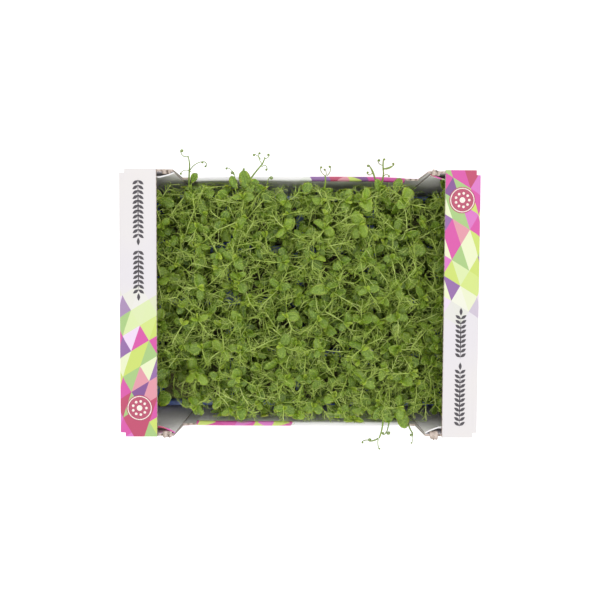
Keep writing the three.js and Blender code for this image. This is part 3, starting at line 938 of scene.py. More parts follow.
def insert_sheet():
    """Sixteen cells and the flange, welded and thickened."""
    cell = insert_cell()
    rows, columns, _ = cell.shape
    faces = grid_faces(rows, columns, closed=True)
    bottom = np.arange((rows - 1) * columns, rows * columns)[None]
    points = np.concatenate([cell.reshape(-1, 3) + [*centres[p], 0] for p in POCKETS])
    starts = np.arange(len(POCKETS))[:, None, None] * rows * columns
    copies = [(faces + starts).reshape(-1, 4), (bottom + starts).reshape(-1, columns)]
    points, (quads, floors) = weld(points, copies)

    limit = PITCH * 2
    edge = np.isclose(np.abs(points[:, 0]), limit[0]) | np.isclose(np.abs(points[:, 1]), limit[1])
    rim = points[edge]
    rim = rim[np.argsort(np.arctan2(rim[:, 1], rim[:, 0]))]
    reach = INSERT_HIGH[:2] - SHEET / 2 - limit
    outward = np.sign(rim[:, :2]) * np.isclose(np.abs(rim[:, :2]), limit)
    rings = [np.column_stack([rim[:, :2] + outward * reach * out, rim[:, 2] - down]) for out, down in FLANGE]
    flange = np.array(rings)
    flange_faces = grid_faces(len(FLANGE), len(rim), closed=True)[:, ::-1] + len(points)
    points, faces = weld(np.concatenate([points, flange.reshape(-1, 3)]), [quads, floors, flange_faces])
    return thicken(points, faces, SHEET)


insert = make_piece("pocket_insert", *insert_sheet(), [NAVY_PLASTIC])
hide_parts("insert_tray")
print("insert", len(insert.data.polygons), "faces")

# %% [markdown]
# ## Growing medium, mat and peas
# The medium is a block of moist brown fibre that fills each pocket, and its plain shape is right as it is. It
# only needs its colour. The skin of the peas gets its colours here too, and their tone varies from pea to
# pea.

# %% Growing medium


def coconut_fibre(name, dark, light):
    """Short strands between a dark and a light colour, rough to the touch."""
    made, tree, shader = new_material(name, Roughness=0.92)
    vector = add(tree, "TexCoord").outputs["Object"]
    strands = add(tree, "TexNoise", {"Vector": vector, "Scale": 420.0, "Detail": 8.0, "Roughness": 0.75})
    colour = add(tree, "ValToRGB", strands, stops=[(0.35, dark), (0.68, light)])
    bump = add(tree, "Bump", {"Height": strands, "Strength": 0.9, "Distance": 1 * MM})
    plug(shader, {"Base Color": colour, "Normal": bump})
    return made


def toned(tree, tone_share, cloud, cloud_share):
    """The piece's tone attribute and a cloud, added in these shares: how old or how sunlit a bit of plant
    is."""
    tone = add(tree, "Attribute", attribute_name="tone").outputs["Fac"]
    cloud = add(tree, "TexNoise", cloud)
    shares = add(tree, "Math MULTIPLY", tone, tone_share), add(tree, "Math MULTIPLY", cloud, cloud_share)
    return add(tree, "Math ADD", *shares)


def pea_skin():
    """Brown to olive, with specks."""
    made, tree, shader = new_material("pea_skin", Roughness=0.38)
    vector = add(tree, "TexCoord").outputs["Object"]
    age = toned(tree, 0.7, {"Vector": vector, "Scale": 700.0, "Detail": 4.0}, 0.4)
    colour = add(tree, "ValToRGB", age, stops=[(0.2, "#4A3A22"), (0.55, "#6E5A38"), (0.85, "#8E8350")])
    plug(shader, {"Base Color": colour})
    return made


MEDIUM_FIBRE = coconut_fibre("coconut_fibre", "#2B1A10", "#6A4A2E")
MAT_FIBRE = coconut_fibre("root_mat", "#47462C", "#94905F")
PEA_SKIN = pea_skin()
for pocket in POCKETS:
    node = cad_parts[f"medium_{pocket}"]
    node.data.materials.clear()
    node.data.materials.append(MEDIUM_FIBRE)
print("medium up to", box("medium_c1r1")[1][2].round(1), "mm")

# %% [markdown]
# On the medium lies the mat that the roots have made, with the peas that are left, and that is what shows
# between the stems. The mat is a stack of rings from its lower rim up and across its top, with small random
# heights.

# %% Root mats
MAT_SEED = 500
MAT_LOW = box("shoots_c2r2")[0][2]
MAT_TOP = MAT_LOW + 4.2
MAT_BUMPS = -0.6, 0.5  # how far its top goes down and up by chance
MAT_GAP = 3.4  # between the mat and the pocket's mouth, on both sides together
# The mat's rings: their share of its size, and of its height
MAT_RINGS = [(1.0, 0), (1.0, 0.6), *((share, 1.0) for share in (0.985, 0.9, 0.75, 0.58, 0.4, 0.22, 0.08))]


def root_mat(pocket, draw):
    """The points, quads and caps of a pocket's mat."""
    centre = centres[pocket]
    size = MOUTH - MAT_GAP
    rings = []
    for share, level in MAT_RINGS:
        ring = rounded_rectangle(size * share, (MOUTH_CORNER - 1.5) * share)[0] + centre
        bumps = draw.uniform(*MAT_BUMPS, len(ring)) * (level == 1.0)
        rings.append(np.column_stack([ring, MAT_LOW + (MAT_TOP - MAT_LOW) * level + bumps]))
    rows, columns = len(rings), len(rings[0])
    caps = np.array([np.arange(columns)[::-1], np.arange(columns) + (rows - 1) * columns])
    points = np.concatenate(rings)
    return points, grid_faces(rows, columns, closed=True), caps


print("mats from", MAT_LOW.round(1), "up to", MAT_TOP.round(1), "mm")

# %% [markdown]
# The peas lie half sunk in the mat's top. A pea is a unit ball, copied, stretched and moved as one array.

# %% Peas
PEAS, PEA_SIZE, PEA_MARGIN = 22, 3.3, 14


def sphere_grid(rows=5, columns=7):
    """A unit sphere as rings between its poles, and the faces with both caps."""
    polar = np.linspace(0, math.pi, rows + 2)[1:-1][:, None]
    around = np.linspace(0, 2 * math.pi, columns, endpoint=False)
    ones = np.ones_like(around)
    level = np.sin(polar)
    points = np.stack([level * np.cos(around), level * np.sin(around), -np.cos(polar) * ones], -1)
    faces = grid_faces(rows, columns, closed=True)
    caps = np.array([np.arange(columns)[::-1], np.arange(columns) + (rows - 1) * columns])
    return points.reshape(-1, 3), faces, caps


def repeat_faces(faces, count, size):
    """The faces of count copies of a shape that has size points."""
    return (faces + np.arange(count)[:, None, None] * size).reshape(-1, faces.shape[1])


def loose_peas(pocket, draw):
    """The points, faces and tones of the peas on a mat. Each pea is stretched a little its own way."""
    ball, faces, caps = sphere_grid()
    spread = (MOUTH - PEA_MARGIN) / 2
    strewn = draw.uniform(-1, 1, (PEAS, 2)) * spread + centres[pocket]
    spots = np.column_stack([strewn, np.full(PEAS, MAT_TOP)])
    stretch = draw.uniform(0.85, 1.1, (PEAS, 1, 3)) * PEA_SIZE
    points = (ball * stretch + spots[:, None]).reshape(-1, 3)
    tone = np.repeat(draw.uniform(0, 1, PEAS), len(ball))
    return points, [repeat_faces(faces, PEAS, len(ball)), repeat_faces(caps, PEAS, len(ball))], tone


def mat_piece(pocket, number):
    """A mat and its peas as one object."""
    draw = np.random.default_rng(MAT_SEED + number)
    mat, mat_faces, mat_caps = root_mat(pocket, draw)
    peas, pea_faces, tone = loose_peas(pocket, draw)
    faces = [mat_faces, mat_caps, *(f + len(mat) for f in pea_faces)]
    zones = np.repeat([0, 0, 1, 1], [len(f) for f in faces])
    points = np.concatenate([mat, peas])
    tones = np.concatenate([np.zeros(len(mat)), tone])
    piece = make_piece(f"mat_{pocket}", points, faces, [MAT_FIBRE, PEA_SKIN], zones, tone=tones)
    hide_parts(f"shoots_{pocket}")
    return piece


mats = [mat_piece(pocket, number) for number, pocket in enumerate(POCKETS)]
print(len(mats), "mats with", PEAS, "peas each")

# %% [markdown]
# ## Green tissue
# A stipule is a thin leaf: waxy, so it has a soft sheen, darker when grown and yellower when young, with a
# pale midrib and side veins. Its UV map has the way along the blade in U and the way across in V, so the
# veins are stripes in those. Stems and tendrils are paler and more yellow, and a little glassy.

# %% Leaf and stem


def pea_leaf():
    """Green by age, marbled with paler flecks, and with raised veins. Light passes a little way into it."""
    made, tree, shader = new_material(
        "pea_leaf", Roughness=0.46, Subsurface_Weight=0.6, Subsurface_Scale=1.6 * MM,
        Subsurface_Radius=(0.8, 1.0, 0.2),
    )
    vector = add(tree, "TexCoord").outputs["Object"]
    blade = add(tree, "SeparateXYZ", add(tree, "UVMap", uv_map="blade"))
    off_rib = add(tree, "Math ABSOLUTE", add(tree, "Math SUBTRACT", blade.outputs["Y"], 0.5))
    along = add(tree, "Math MULTIPLY", blade.outputs["X"], 7.0)
    slant = add(tree, "Math SUBTRACT", along, add(tree, "Math MULTIPLY", off_rib, 9.0))
    stripe = add(tree, "Math SINE", add(tree, "Math MULTIPLY", slant, 2 * math.pi))
    side_vein = add(tree, "Math POWER", add(tree, "Math MAXIMUM", stripe, 0.0), 14.0)
    midrib = add(tree, "Math SUBTRACT", 1.0, add(tree, "Math MULTIPLY", off_rib, 22.0), use_clamp=True)
    veins = add(tree, "Math ADD", midrib, add(tree, "Math MULTIPLY", side_vein, 0.4), use_clamp=True)
    age = toned(tree, 0.8, {"Vector": vector, "Scale": 240.0, "Detail": 3.0}, 0.25)
    greens = [(0.05, "#4F6A12"), (0.4, "#647F1B"), (0.75, "#7F9828"), (1.0, "#A9BC40")]
    green = add(tree, "ValToRGB", age, stops=greens)
    fleck = add(tree, "TexNoise", {"Vector": vector, "Scale": 620.0, "Detail": 1.0})
    marbled = add(tree, "Math MULTIPLY", add(tree, "Math SUBTRACT", fleck, 0.47), 5.0, use_clamp=True)
    shares = add(tree, "Math MULTIPLY", veins, 0.5), add(tree, "Math MULTIPLY", marbled, 0.6)
    pale = add(tree, "Math MAXIMUM", *shares)
    mixed = add(tree, "Mix", {0: pale, 6: green, 7: linear("#9DB64C")}, data_type="RGBA")
    bump = add(tree, "Bump", {"Height": veins, "Strength": 0.35, "Distance": 0.4 * MM})
    plug(shader, {"Base Color": mixed.outputs[2], "Normal": bump})
    return made


def pea_stem():
    """Green by age alone."""
    made, tree, shader = new_material("pea_stem", Roughness=0.4)
    vector = add(tree, "TexCoord").outputs["Object"]
    age = toned(tree, 0.8, {"Vector": vector, "Scale": 160.0, "Detail": 2.0}, 0.2)
    greens = [(0.08, "#667F28"), (0.3, "#8AA43A"), (0.6, "#A7BD52"), (1.0, "#C4D281")]
    green = add(tree, "ValToRGB", age, stops=greens)
    plug(shader, {"Base Color": green})
    return made


PEA_LEAF, PEA_STEM = pea_leaf(), pea_stem()
print("materials", PEA_LEAF.name, "and", PEA_STEM.name)

# %% [markdown]
# ## A blade and a tube
# Two shapes make every shoot, and both are worked out for hundreds of copies at once, so the arrays have one
# more dimension, for the copy. A blade is a flattened tube: at each step along its midrib its section is a
# thin loop, wide at the middle and closed at both ends.

# %% Blades
BLADE_STEPS, BLADE_ACROSS = 6, 4
BLADE_THICKNESS = 0.35
BLADE_POWER, BLADE_FULL = 0.45, 1.66  # the outline's power, and what brings it to about its full width
PULLED_BACK, WIDER = 0.24, 0.18  # how far the outer half is pulled back at its base, and how much wider it is


def blade_template():
    """The way along (0 to 1), the way across (-1 to 1) and the face (1 above, -1 below) of a blade's
    points."""
    along = (1 - np.cos(np.linspace(0.12, math.pi - 0.12, BLADE_STEPS))) / 2
    above = np.linspace(-1, 1, BLADE_ACROSS + 1)
    across = np.concatenate([above, above[-2:0:-1]])
    face = np.concatenate([[0], np.ones(BLADE_ACROSS - 1), [0], -np.ones(BLADE_ACROSS - 1)])
    return np.meshgrid(along, across, indexing="ij"), np.tile(face, (BLADE_STEPS, 1))


def blades(foot, heading, rise, roll, length, width, cup, droop, wave, side):
    """Stipules, one for each entry. Half the width goes as u^0.45 (1 - u)^0.45, which is a broad base and a
    round tip. The edge away from the stalk is pulled back at the base, so the blade is half a heart. It is
    cupped upwards across, droops along, and its edge waves."""
    (u, v), face = blade_template()
    u, v, face = u[None], v[None], face[None]

    def each(values):
        return np.asarray(values)[:, None, None]

    shape = u**BLADE_POWER * (1 - u) ** BLADE_POWER * BLADE_FULL
    outer = np.clip(v * each(side), 0, 1)
    x = each(length) * (u - PULLED_BACK * outer * (1 - u) ** 2)
    y = each(width) / 2 * v * shape * (1 + WIDER * outer)
    lift = each(cup) * (np.abs(v) * shape) ** 1.5 * each(width) / 2 - each(droop) * each(length) * u**2
    ripple = each(wave) * np.sin(each(roll) * 40 + 9 * u + 2 * v) * np.abs(v) ** 3
    z = lift + ripple + face * BLADE_THICKNESS / 2

    cos_h, sin_h, cos_r, sin_r = np.cos(heading), np.sin(heading), np.cos(rise), np.sin(rise)
    ex = np.stack([cos_h * cos_r, sin_h * cos_r, sin_r], -1)
    flat = np.stack([-sin_h, cos_h, np.zeros_like(heading)], -1)
    up = np.cross(ex, flat)
    ey = flat * np.cos(roll)[:, None] + up * np.sin(roll)[:, None]
    ez = up * np.cos(roll)[:, None] - flat * np.sin(roll)[:, None]
    local = np.stack([x, y, z], -1)
    axes = np.stack([ex, ey, ez], 1)
    points = np.einsum("nijk,nkl->nijl", local, axes) + np.asarray(foot)[:, None, None]
    uv = np.stack(np.broadcast_arrays(u, (v + 1) / 2), -1)
    return points, np.broadcast_to(uv, (*points.shape[:3], 2))


print(BLADE_STEPS * 2 * BLADE_ACROSS, "points in a blade")

# %% [markdown]
# A tube follows a path, and its radius shrinks along it. The path is a quadratic curve, or a tendril's.

# %% Tubes


def bezier(start, middle, end, steps):
    """Quadratic curves, one for each row of the three arrays, at even shares of their parameter."""
    t = np.linspace(0, 1, steps)[None, :, None]
    start, middle, end = start[:, None], middle[:, None], end[:, None]
    return (1 - t) ** 2 * start + 2 * t * (1 - t) * middle + t**2 * end


def tubes(paths, thick, thin, sides):
    """Tubes along many paths, each row of paths one of them. The section's frame follows from the path and
    one fixed direction for each, the one across the path's own plane, so it doesn't twist."""
    along = unit(np.gradient(paths, axis=1))
    chord = unit(paths[:, -1] - paths[:, 0])
    bulge = paths[:, paths.shape[1] // 2] - paths[:, 0]
    across = np.cross(chord, bulge)
    weak = np.linalg.norm(across, axis=1) < 1e-3
    across[weak] = np.cross(chord[weak], [0.3, 0.2, 0.93])
    across = np.broadcast_to(unit(across)[:, None], along.shape)
    u = unit(np.cross(along, across))
    v = np.cross(along, u)
    angle = np.linspace(0, 2 * math.pi, sides, endpoint=False)
    share = np.linspace(0, 1, paths.shape[1])[None, :, None, None]
    radius = thick * (1 - share) + thin * share
    ring = u[:, :, None] * np.cos(angle)[:, None] + v[:, :, None] * np.sin(angle)[:, None]
    return paths[:, :, None] + ring * radius


def tube_faces(count, rows, sides):
    """Faces of many tubes with their end caps."""
    quads = repeat_faces(grid_faces(rows, sides, closed=True), count, rows * sides)
    caps = np.array([np.arange(sides)[::-1], np.arange(sides) + (rows - 1) * sides])
    return quads, repeat_faces(caps, count, rows * sides)


print("a tube of 9 rings with 5 sides has", len(tube_faces(1, 9, 5)[0]), "quads")

# %% [markdown]
# ## How a shoot grows
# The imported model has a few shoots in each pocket, placed by a simple rule with its own number generator. The
# same rule is repeated here, draw by draw, so that these shoots come out in the same places. More shoots fill
# the gaps between them. A shoot is then a curved stem with four nodes. At each node a pair of stipules
# clasps the stem, and a stalk leaves between them and ends in a spray of tendrils.

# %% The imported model's shoots
PLACES = [(-1, -1), (1, -1), (-1, 1), (1, 1)]
STEP, SPREAD, JITTER, LEAN, BEND_RANGE = (22, 16), (4, 2), (-4, 4), (-5, 5), (-4, 4)
TOP_RANGE, LOBE_RANGE = (106, 122), (14.5, 18)
STALK_REACH, STALK_RISE, FORK_TURN, FORK_REACH, FORK_RISE = (14, 20), (6, 9), (0.3, 0.8), 9, (0, 3)
CELL_GAP, LOWER_NODE = 0.4, 0.68
LOBE_MARGIN, STALK_MARGIN, TIP_MARGIN = 0.6, 3, 1.2  # how far inside its cell each stays
SEED_STEP, MULTIPLIER, INCREMENT, MODULUS = 7919, 1664525, 1013904223, 2**32


def draws_from(seed):
    """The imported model's number generator: each call gives a number from a range."""
    state = seed

    def draw(span):
        nonlocal state
        state = (state * MULTIPLIER + INCREMENT) % MODULUS
        return span[0] + (span[1] - span[0]) * state / MODULUS

    return draw


def packed_shoots(number, centre):
    """For each shoot its root, top, bend of the lower node, lobe, way and end of the stalk, and tips of the
    tendrils."""
    draw = draws_from(SEED_STEP * (number + 1))
    limit = PITCH / 2 - CELL_GAP

    def keep(place, reach):
        return centre + np.clip(place - centre, reach - limit, limit - reach)

    made = []
    for place in PLACES:
        root = np.array([centre[k] + place[k] * STEP[k] + draw(JITTER) for k in (0, 1)])
        lobe = draw(LOBE_RANGE)
        lean = np.array([place[k] * SPREAD[k] + draw(LEAN) for k in (0, 1)])
        top = np.append(keep(root + lean, lobe + LOBE_MARGIN), draw(TOP_RANGE))
        turn = draw((0, math.pi))
        bend = np.array([draw(BEND_RANGE), draw(BEND_RANGE), 0.0])
        way = turn + math.pi / 2 + (math.pi if draw((-1, 1)) < 0 else 0)
        reach = draw(STALK_REACH)
        end = keep(top[:2] + reach * np.array([math.cos(way), math.sin(way)]), STALK_MARGIN)
        stalk = np.append(end, top[2] + draw(STALK_RISE))
        tips = []
        for side in (-1, 1):
            fork = way + side * draw(FORK_TURN)
            tip = keep(end + FORK_REACH * np.array([math.cos(fork), math.sin(fork)]), TIP_MARGIN)
            tips.append(np.append(tip, stalk[2] + draw(FORK_RISE)))
        made.append({"root": root, "top": top, "bend": bend, "lobe": lobe, "way": way, "stalk": stalk,
                     "tips": tips})
    return made


example = packed_shoots(0, centres["c1r1"])
print(len(example), "shoots in each pocket, the first up to", round(example[0]["top"][2], 1), "mm")

# %% [markdown]
# Six shoots have grown out over the long sides. They are given one by one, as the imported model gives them.

# %% Leaning shoots
# Root, upper pair, half its size, end of the stalk, and the tips of its tendrils
OVERHANGING = [
    ((-130, 118), (-130, 138, 116), 9, (-127, 159, 125), [(-138, 173, 131), (-106, 160, 129)]),
    ((-64, 118), (-62, 139, 118), 13, (-44, 159, 128), [(-52, 170, 131), (-37, 165, 129)]),
    ((31, 118), (28, 138, 116), 12, (28, 148, 122), [(21, 157, 126), (34, 156, 127)]),
    ((80, 119), (94, 139, 117), 12, (95, 150, 124), [(92, 164, 130), (77, 157, 128), (108, 158, 128)]),
    ((80, -114), (99, -131, 117), 15, (93, -157, 124), [(93, -169, 126), (80, -164, 124)]),
    ((121, -116), (127, -136, 116), 12, (133, -152, 119), [(128, -164, 122)]),
]


def grows_here(root, centre):
    """Whether a root is in the pocket with this centre."""
    return np.all(np.abs(np.array(root) - centre) < PITCH / 2)


def leaning_shoots(centre):
    """The leaning shoots that are rooted in this pocket."""
    made = []
    for root, pair, lobe, stalk, tips in OVERHANGING:
        if grows_here(root, centre):
            root, top, stalk, *tips = (np.array(place, float) for place in (root, pair, stalk, *tips))
            way = math.atan2(stalk[1] - top[1], stalk[0] - top[0])
            made.append({"root": root, "top": top, "bend": np.zeros(3), "lobe": lobe, "way": way,
                         "stalk": stalk, "tips": tips})
    return made


print(sum(len(leaning_shoots(centre)) for centre in centres.values()), "leaning shoots")

# %% [markdown]
# What these six carry hangs free beyond the rim, where every curl shows. So each tendril and twig is given
# too. A tendril is a curve with a small coil at its end.

# %% What hangs free
# Each tendril's start and end, how far it bulges to its left, and the size of the coil at its end
LOOSE_TENDRILS = [
    ((-128.5, 167, 127), (-136, 172, 131), 2.5, 1.7),
    ((-127.5, 153, 122), (-112, 161, 129), 2.0, 1.0),
    ((-112, 161, 129), (-108, 156, 127), 2.5, 0.8),
    ((-126, 151, 121), (-139, 150, 120), -3.0, 1.0),
    ((-44, 159, 128), (-48, 170.5, 130), 1.5, 1.1),
    ((-46, 164, 129), (-53, 169.5, 130), -1.0, 1.2),
    ((-42, 165, 128), (-36, 168, 130), -1.0, 1.3),
    ((-45, 156, 127), (-38.5, 153, 127), 3.5, 1.0),
    ((-78, 139, 117), (-77.5, 151, 122), -1.5, 1.7),
    ((-77.5, 148, 121), (-85, 156, 123), -2.0, 1.1),
    ((-62, 143, 119), (-66.5, 154, 124), 1.5, 1.1),
    ((-39, 138, 117), (-35.5, 146.5, 120), 1.0, 1.9),
    ((28, 148, 122), (22, 156, 126), 1.5, 1.1),
    ((29, 148, 122), (28, 154.5, 124), -0.5, 1.0),
    ((30, 148, 122), (34, 157, 126), -1.5, 1.2),
    ((95, 150, 124), (93.5, 165, 129), 0.8, 1.1),
    ((94.5, 155, 126), (106, 159.5, 128), -2.0, 1.2),
    ((94, 159, 127), (87.5, 163.5, 128), 1.5, 1.4),
    ((86, 144, 121), (77.5, 159, 127), -1.5, 1.3),
    ((82, 151, 123), (76, 150.5, 124), 2.0, 1.0),
    ((95, 146, 121), (102, 148.5, 122), 2.5, 0.9),
    ((92, -157, 124), (82, -160.5, 124), 1.0, 1.9),
    ((83, -160, 124), (73, -161, 124), -1.5, 0.9),
    ((92, -157, 124), (92.5, -169, 125), -0.8, 0.8),
    ((102, -151, 122), (104, -153, 122), -0.5, 1.9),
    ((101.5, -150, 121), (97.5, -153, 122), 1.5, 1.4),
    ((133, -151, 119), (133.3, -155, 119), 0.5, 1.7),
    ((133, -152, 119), (133, -164.5, 118), 0.8, 0.8),
]
# Thicker twigs that carry them: start, end and bulge
TWIGS = [
    ((-127, 158, 125), (-128.5, 168, 127), -0.4),
    ((-44, 159, 128), (-41, 167, 128), -0.5),
    ((95, 150, 124), (93.9, 165, 128), 0.6),
    ((94.5, 155, 126), (106, 159, 128), -1.2),
    ((86, 144, 121), (77.8, 159, 127), -1.0),
    ((92, -157, 124), (84, -160, 124), 0.8),
    ((106, -138, 118), (102, -151, 122), 0.5),
]


def carried_here(entries, centre):
    """The tendrils or twigs, as columns of start, end and so on, that belong to a leaning shoot of this
    pocket: each belongs to the shoot whose upper pair is nearest to its start."""
    roots, pairs = (np.array([shoot[k] for shoot in OVERHANGING], float) for k in (0, 1))
    nearest = [np.argmin(np.linalg.norm(pairs - entry[0], axis=1)) for entry in entries]
    mine = [e for e, n in zip(entries, nearest) if grows_here(roots[n], centre)]
    return [np.array(values, float) for values in zip(*mine)]


def left_of(ways):
    """The level direction to the left of each way."""
    return np.column_stack([-ways[:, 1], ways[:, 0], np.zeros(len(ways))])


def twigs(centre):
    """The thicker twigs of this pocket, as curves."""
    mine = carried_here(TWIGS, centre)
    if not mine:
        return np.zeros((0, 6, 3))
    start, end, bulge = mine
    return bezier(start, (start + end) / 2 + left_of(unit(end - start)) * bulge[:, None], end, 6)


print(len(TWIGS), "twigs")

# %% [markdown]
# The coil starts where the curve ends and in its direction, so the two join smoothly.

# %% Free curls
CURL_STEPS, COIL_STEPS, COIL_TURNS, COIL_SHRINK, COIL_RISE = 10, 20, 2, 0.75, 0.15


def loose_curls(centre):
    """The tendrils that hang free from this pocket's shoots. Each is a quadratic curve, and then a flat coil
    whose radius shrinks evenly."""
    start, end, bulge, coil = carried_here(LOOSE_TENDRILS, centre)
    middle = (start + end) / 2 + left_of(unit((end - start)[:, :2])) * bulge[:, None] * 2
    lead = bezier(start, middle, end, CURL_STEPS)
    hand = np.sign(bulge)[:, None]
    whole = 2 * math.pi * COIL_TURNS
    turn = np.linspace(0, whole, COIL_STEPS)[None, 1:]
    arrive = np.arctan2(*(end - middle)[:, 1::-1].T)[:, None]
    radius = coil[:, None] * (1 - COIL_SHRINK * turn / whole)
    angle = arrive + hand * (math.pi / 2 - turn)
    hub = end[:, :2] - hand * coil[:, None] * np.column_stack([-np.sin(arrive), np.cos(arrive)])
    flat = hub[:, None] + radius[..., None] * np.stack([np.cos(angle), np.sin(angle)], -1)
    height = end[:, 2:] + COIL_RISE * turn
    return np.concatenate([lead, np.concatenate([flat, height[..., None]], -1)], axis=1)


print(len(LOOSE_TENDRILS), "free tendrils")

# %% [markdown]
# Some single leaves rest on the rims or hang into the corners. Their stalks come from below the other leaves.

# %% Single leaves
# Foot, tip and width
EDGE_LEAVES = [
    ((-128, 143, 113), (-121, 150, 116), 9),
    ((-77, 135, 113), (-81, 147, 116), 9),
    ((-62, 136, 113), (-67, 153, 116), 13),
    ((-62, 136, 113), (-50, 141, 116), 13),
    ((-61, 140, 113), (-58, 129, 116), 12),
    ((3, 131, 113), (11, 140, 116), 12),
    ((92, 134, 113), (89, 145, 116), 9),
    ((111, 133, 113), (115, 146, 116), 10),
    ((99, -124, 113), (89, -135, 116), 12),
    ((100, -124, 113), (106, -139, 116), 14),
    ((104, -124, 113), (114, -132, 116), 12),
    ((120, -128, 113), (124, -146, 116), 13),
    ((172, 134, 113), (165, 145, 116), 10),
    ((-168, -113, 113), (-153, -111, 116), 17),
    ((-144, -120, 92), (-137, -130, 90), 8),
    ((-155, -108, 88), (-150, -119, 84), 7),
]
STALK_FOOT, STALK_BOW = 88.0, 108.0  # the heights where their stalks begin and bend
STALK_IN = 0.8, 0.82  # how near their stalks begin to the pocket's middle in X and to the tray's in Y
OUTERMOST = 118  # what lies further out than this belongs to the outermost pockets


def edge_leaves(centre):
    """The settings of this pocket's single leaves, as for stipules, and the curves of their stalks."""
    mine = [leaf for leaf in EDGE_LEAVES if grows_here(np.clip(leaf[0][:2], -OUTERMOST, OUTERMOST), centre)]
    if not mine:
        return None, None
    foot, tip, width = (np.array(values, float) for values in zip(*mine))
    reach, count = tip - foot, len(mine)
    settings = {
        "foot": foot,
        "heading": np.arctan2(reach[:, 1], reach[:, 0]),
        "rise": np.arctan2(reach[:, 2], np.linalg.norm(reach[:, :2], axis=1)) + 0.1,
        "roll": np.linspace(-0.3, 0.3, count),
        "length": np.linalg.norm(reach, axis=1) * 1.1,
        "width": width * 1.15,
        "cup": np.full(count, 0.25),
        "droop": np.full(count, 0.12),
        "wave": np.full(count, 0.4),
        "side": np.where(np.arange(count) % 2, 1.0, -1.0),
    }
    inside_x, inside_y = centre[0] + (foot[:, 0] - centre[0]) * STALK_IN[0], foot[:, 1] * STALK_IN[1]
    inside = np.column_stack([inside_x, inside_y, np.full(count, STALK_FOOT)])
    middle = np.column_stack([foot[:, :2] * 0.3 + inside[:, :2] * 0.7, np.full(count, STALK_BOW)])
    return settings, bezier(inside, middle, foot, 6)


print(len(EDGE_LEAVES), "single leaves")

# %% [markdown]
# The other shoots fill the pockets. Their roots are spread by a rule that never bunches, and their heights
# vary as in the real stand. In a few spots at the carton's walls hardly anything grows, or the shoots are
# short.

# %% Filling shoots
SHOOTS = 26  # in each pocket, with those above
EXTRA_SPREAD, EXTRA_TOP, EXTRA_LEAN, EXTRA_OUT = (41, 28.5), (90, 116), 6, (11, 10)
EXTRA_REACH, EXTRA_RISE, EXTRA_LOBE = (18, 34), (3, 16), (11, 17)
EXTRA_JITTER, EXTRA_TIPS, EXTRA_TIP_RISE, EXTRA_BEND = 2, 8, (-2, 5), 6
END_RISE, SIDE_DROP = 10, 8  # how much higher they stand towards the ends, and lower towards the long sides
# Where hardly anything grows, so the insert's edge shows: x from and to, y from and to
BARE = [
    (-190, -126, -150, -106), (-190, -150, 122, 150), (148, 170, 122, 150), (150, 190, -150, -118),
    (-112, -90, 118, 150), (-40, -10, 118, 150), (134, 160, -150, -118),
]
# Where they are only this part of their height
SHORT, SHORT_SHARE = [(-190, -126, -106, -76), (-190, -146, 104, 122), (124, 190, 96, 150)], 0.66
PLASTIC = 0.7548776662466927, 0.5698402909980532  # steps that spread points evenly over a rectangle


def within(point, boxes):
    """Whether a point is in one of the boxes."""
    return any(x0 < point[0] < x1 and y0 < point[1] < y1 for x0, x1, y0, y1 in boxes)


def extra_shoots(count, number, centre, draw):
    """Roots at evenly spread places outside the bare spots, and tops that lean away from the pocket's middle.
    The height changes with the fourth power of x and the sixth of y, so only the edges differ."""
    made = []
    for k in range(count):
        even = (np.array(PLASTIC) * (k + 1 + number * SHOOTS)) % 1 * 2 - 1
        root = centre + even * EXTRA_SPREAD + draw.uniform(-EXTRA_JITTER, EXTRA_JITTER, 2)
        if within(root, BARE):
            continue
        top = root + even * EXTRA_OUT + draw.uniform(-EXTRA_LEAN, EXTRA_LEAN, 2)
        rise, drop = END_RISE * (root[0] / core_x) ** 4, SIDE_DROP * (root[1] / core_y) ** 6
        height = draw.uniform(*EXTRA_TOP) + rise - drop
        top = np.append(top, height * (SHORT_SHARE if within(root, SHORT) else 1))
        way = draw.uniform(0, 2 * math.pi)
        reach = draw.uniform(*EXTRA_REACH)
        stalk = top + [reach * math.cos(way), reach * math.sin(way), draw.uniform(*EXTRA_RISE)]
        tips = []
        for _ in range(2):
            apart = draw.uniform(-EXTRA_TIPS, EXTRA_TIPS, 2)
            tips.append(stalk + np.append(apart, draw.uniform(*EXTRA_TIP_RISE)))
        bend = np.append(draw.uniform(-EXTRA_BEND, EXTRA_BEND, 2), 0.0)
        made.append({"root": root, "top": top, "bend": bend, "lobe": draw.uniform(*EXTRA_LOBE), "way": way,
                     "stalk": stalk, "tips": tips})
    return made


print(SHOOTS, "shoots in a pocket,", len(BARE), "bare spots")

# %% [markdown]
# ## Room
# The shoots of neighbouring pockets mesh with each other, but the carton stops them. A soft limit does both
# here: within its room a point keeps its place, and near the edge and beyond it is drawn in more and more, so
# none passes the limit and no leaf is cut. A pocket's room goes a little way into the next pockets, and ends
# at the carton's walls and below the height at which the next tray would stand. In the near left corner,
# where hardly any shoots grow, the limit curves inwards, and tops that would lean into the corner are moved
# clear.

# %% Soft limits
MESHING = 12  # how far shoots reach into the next pocket
ROOM = np.array([190.0, 140.0, TOP - 3])  # the corner of the room inside the carton
SOFT = np.array([9.0, 8.0, 7.0])
BARE_FROM, BARE_FADE, BARE_DEPTH = -128, 18, 35  # where the bare corner begins in x, how soon, how deep it is
CLEAR = 16  # how far inside its limit the tops stay


def room_of(centre):
    """The low and high corner of a pocket's room."""
    reach = PITCH / 2 + MESHING
    low = np.maximum(centre - reach, -ROOM[:2])
    high = np.minimum(centre + reach, ROOM[:2])
    return np.append(low, -50.0), np.append(high, ROOM[2])


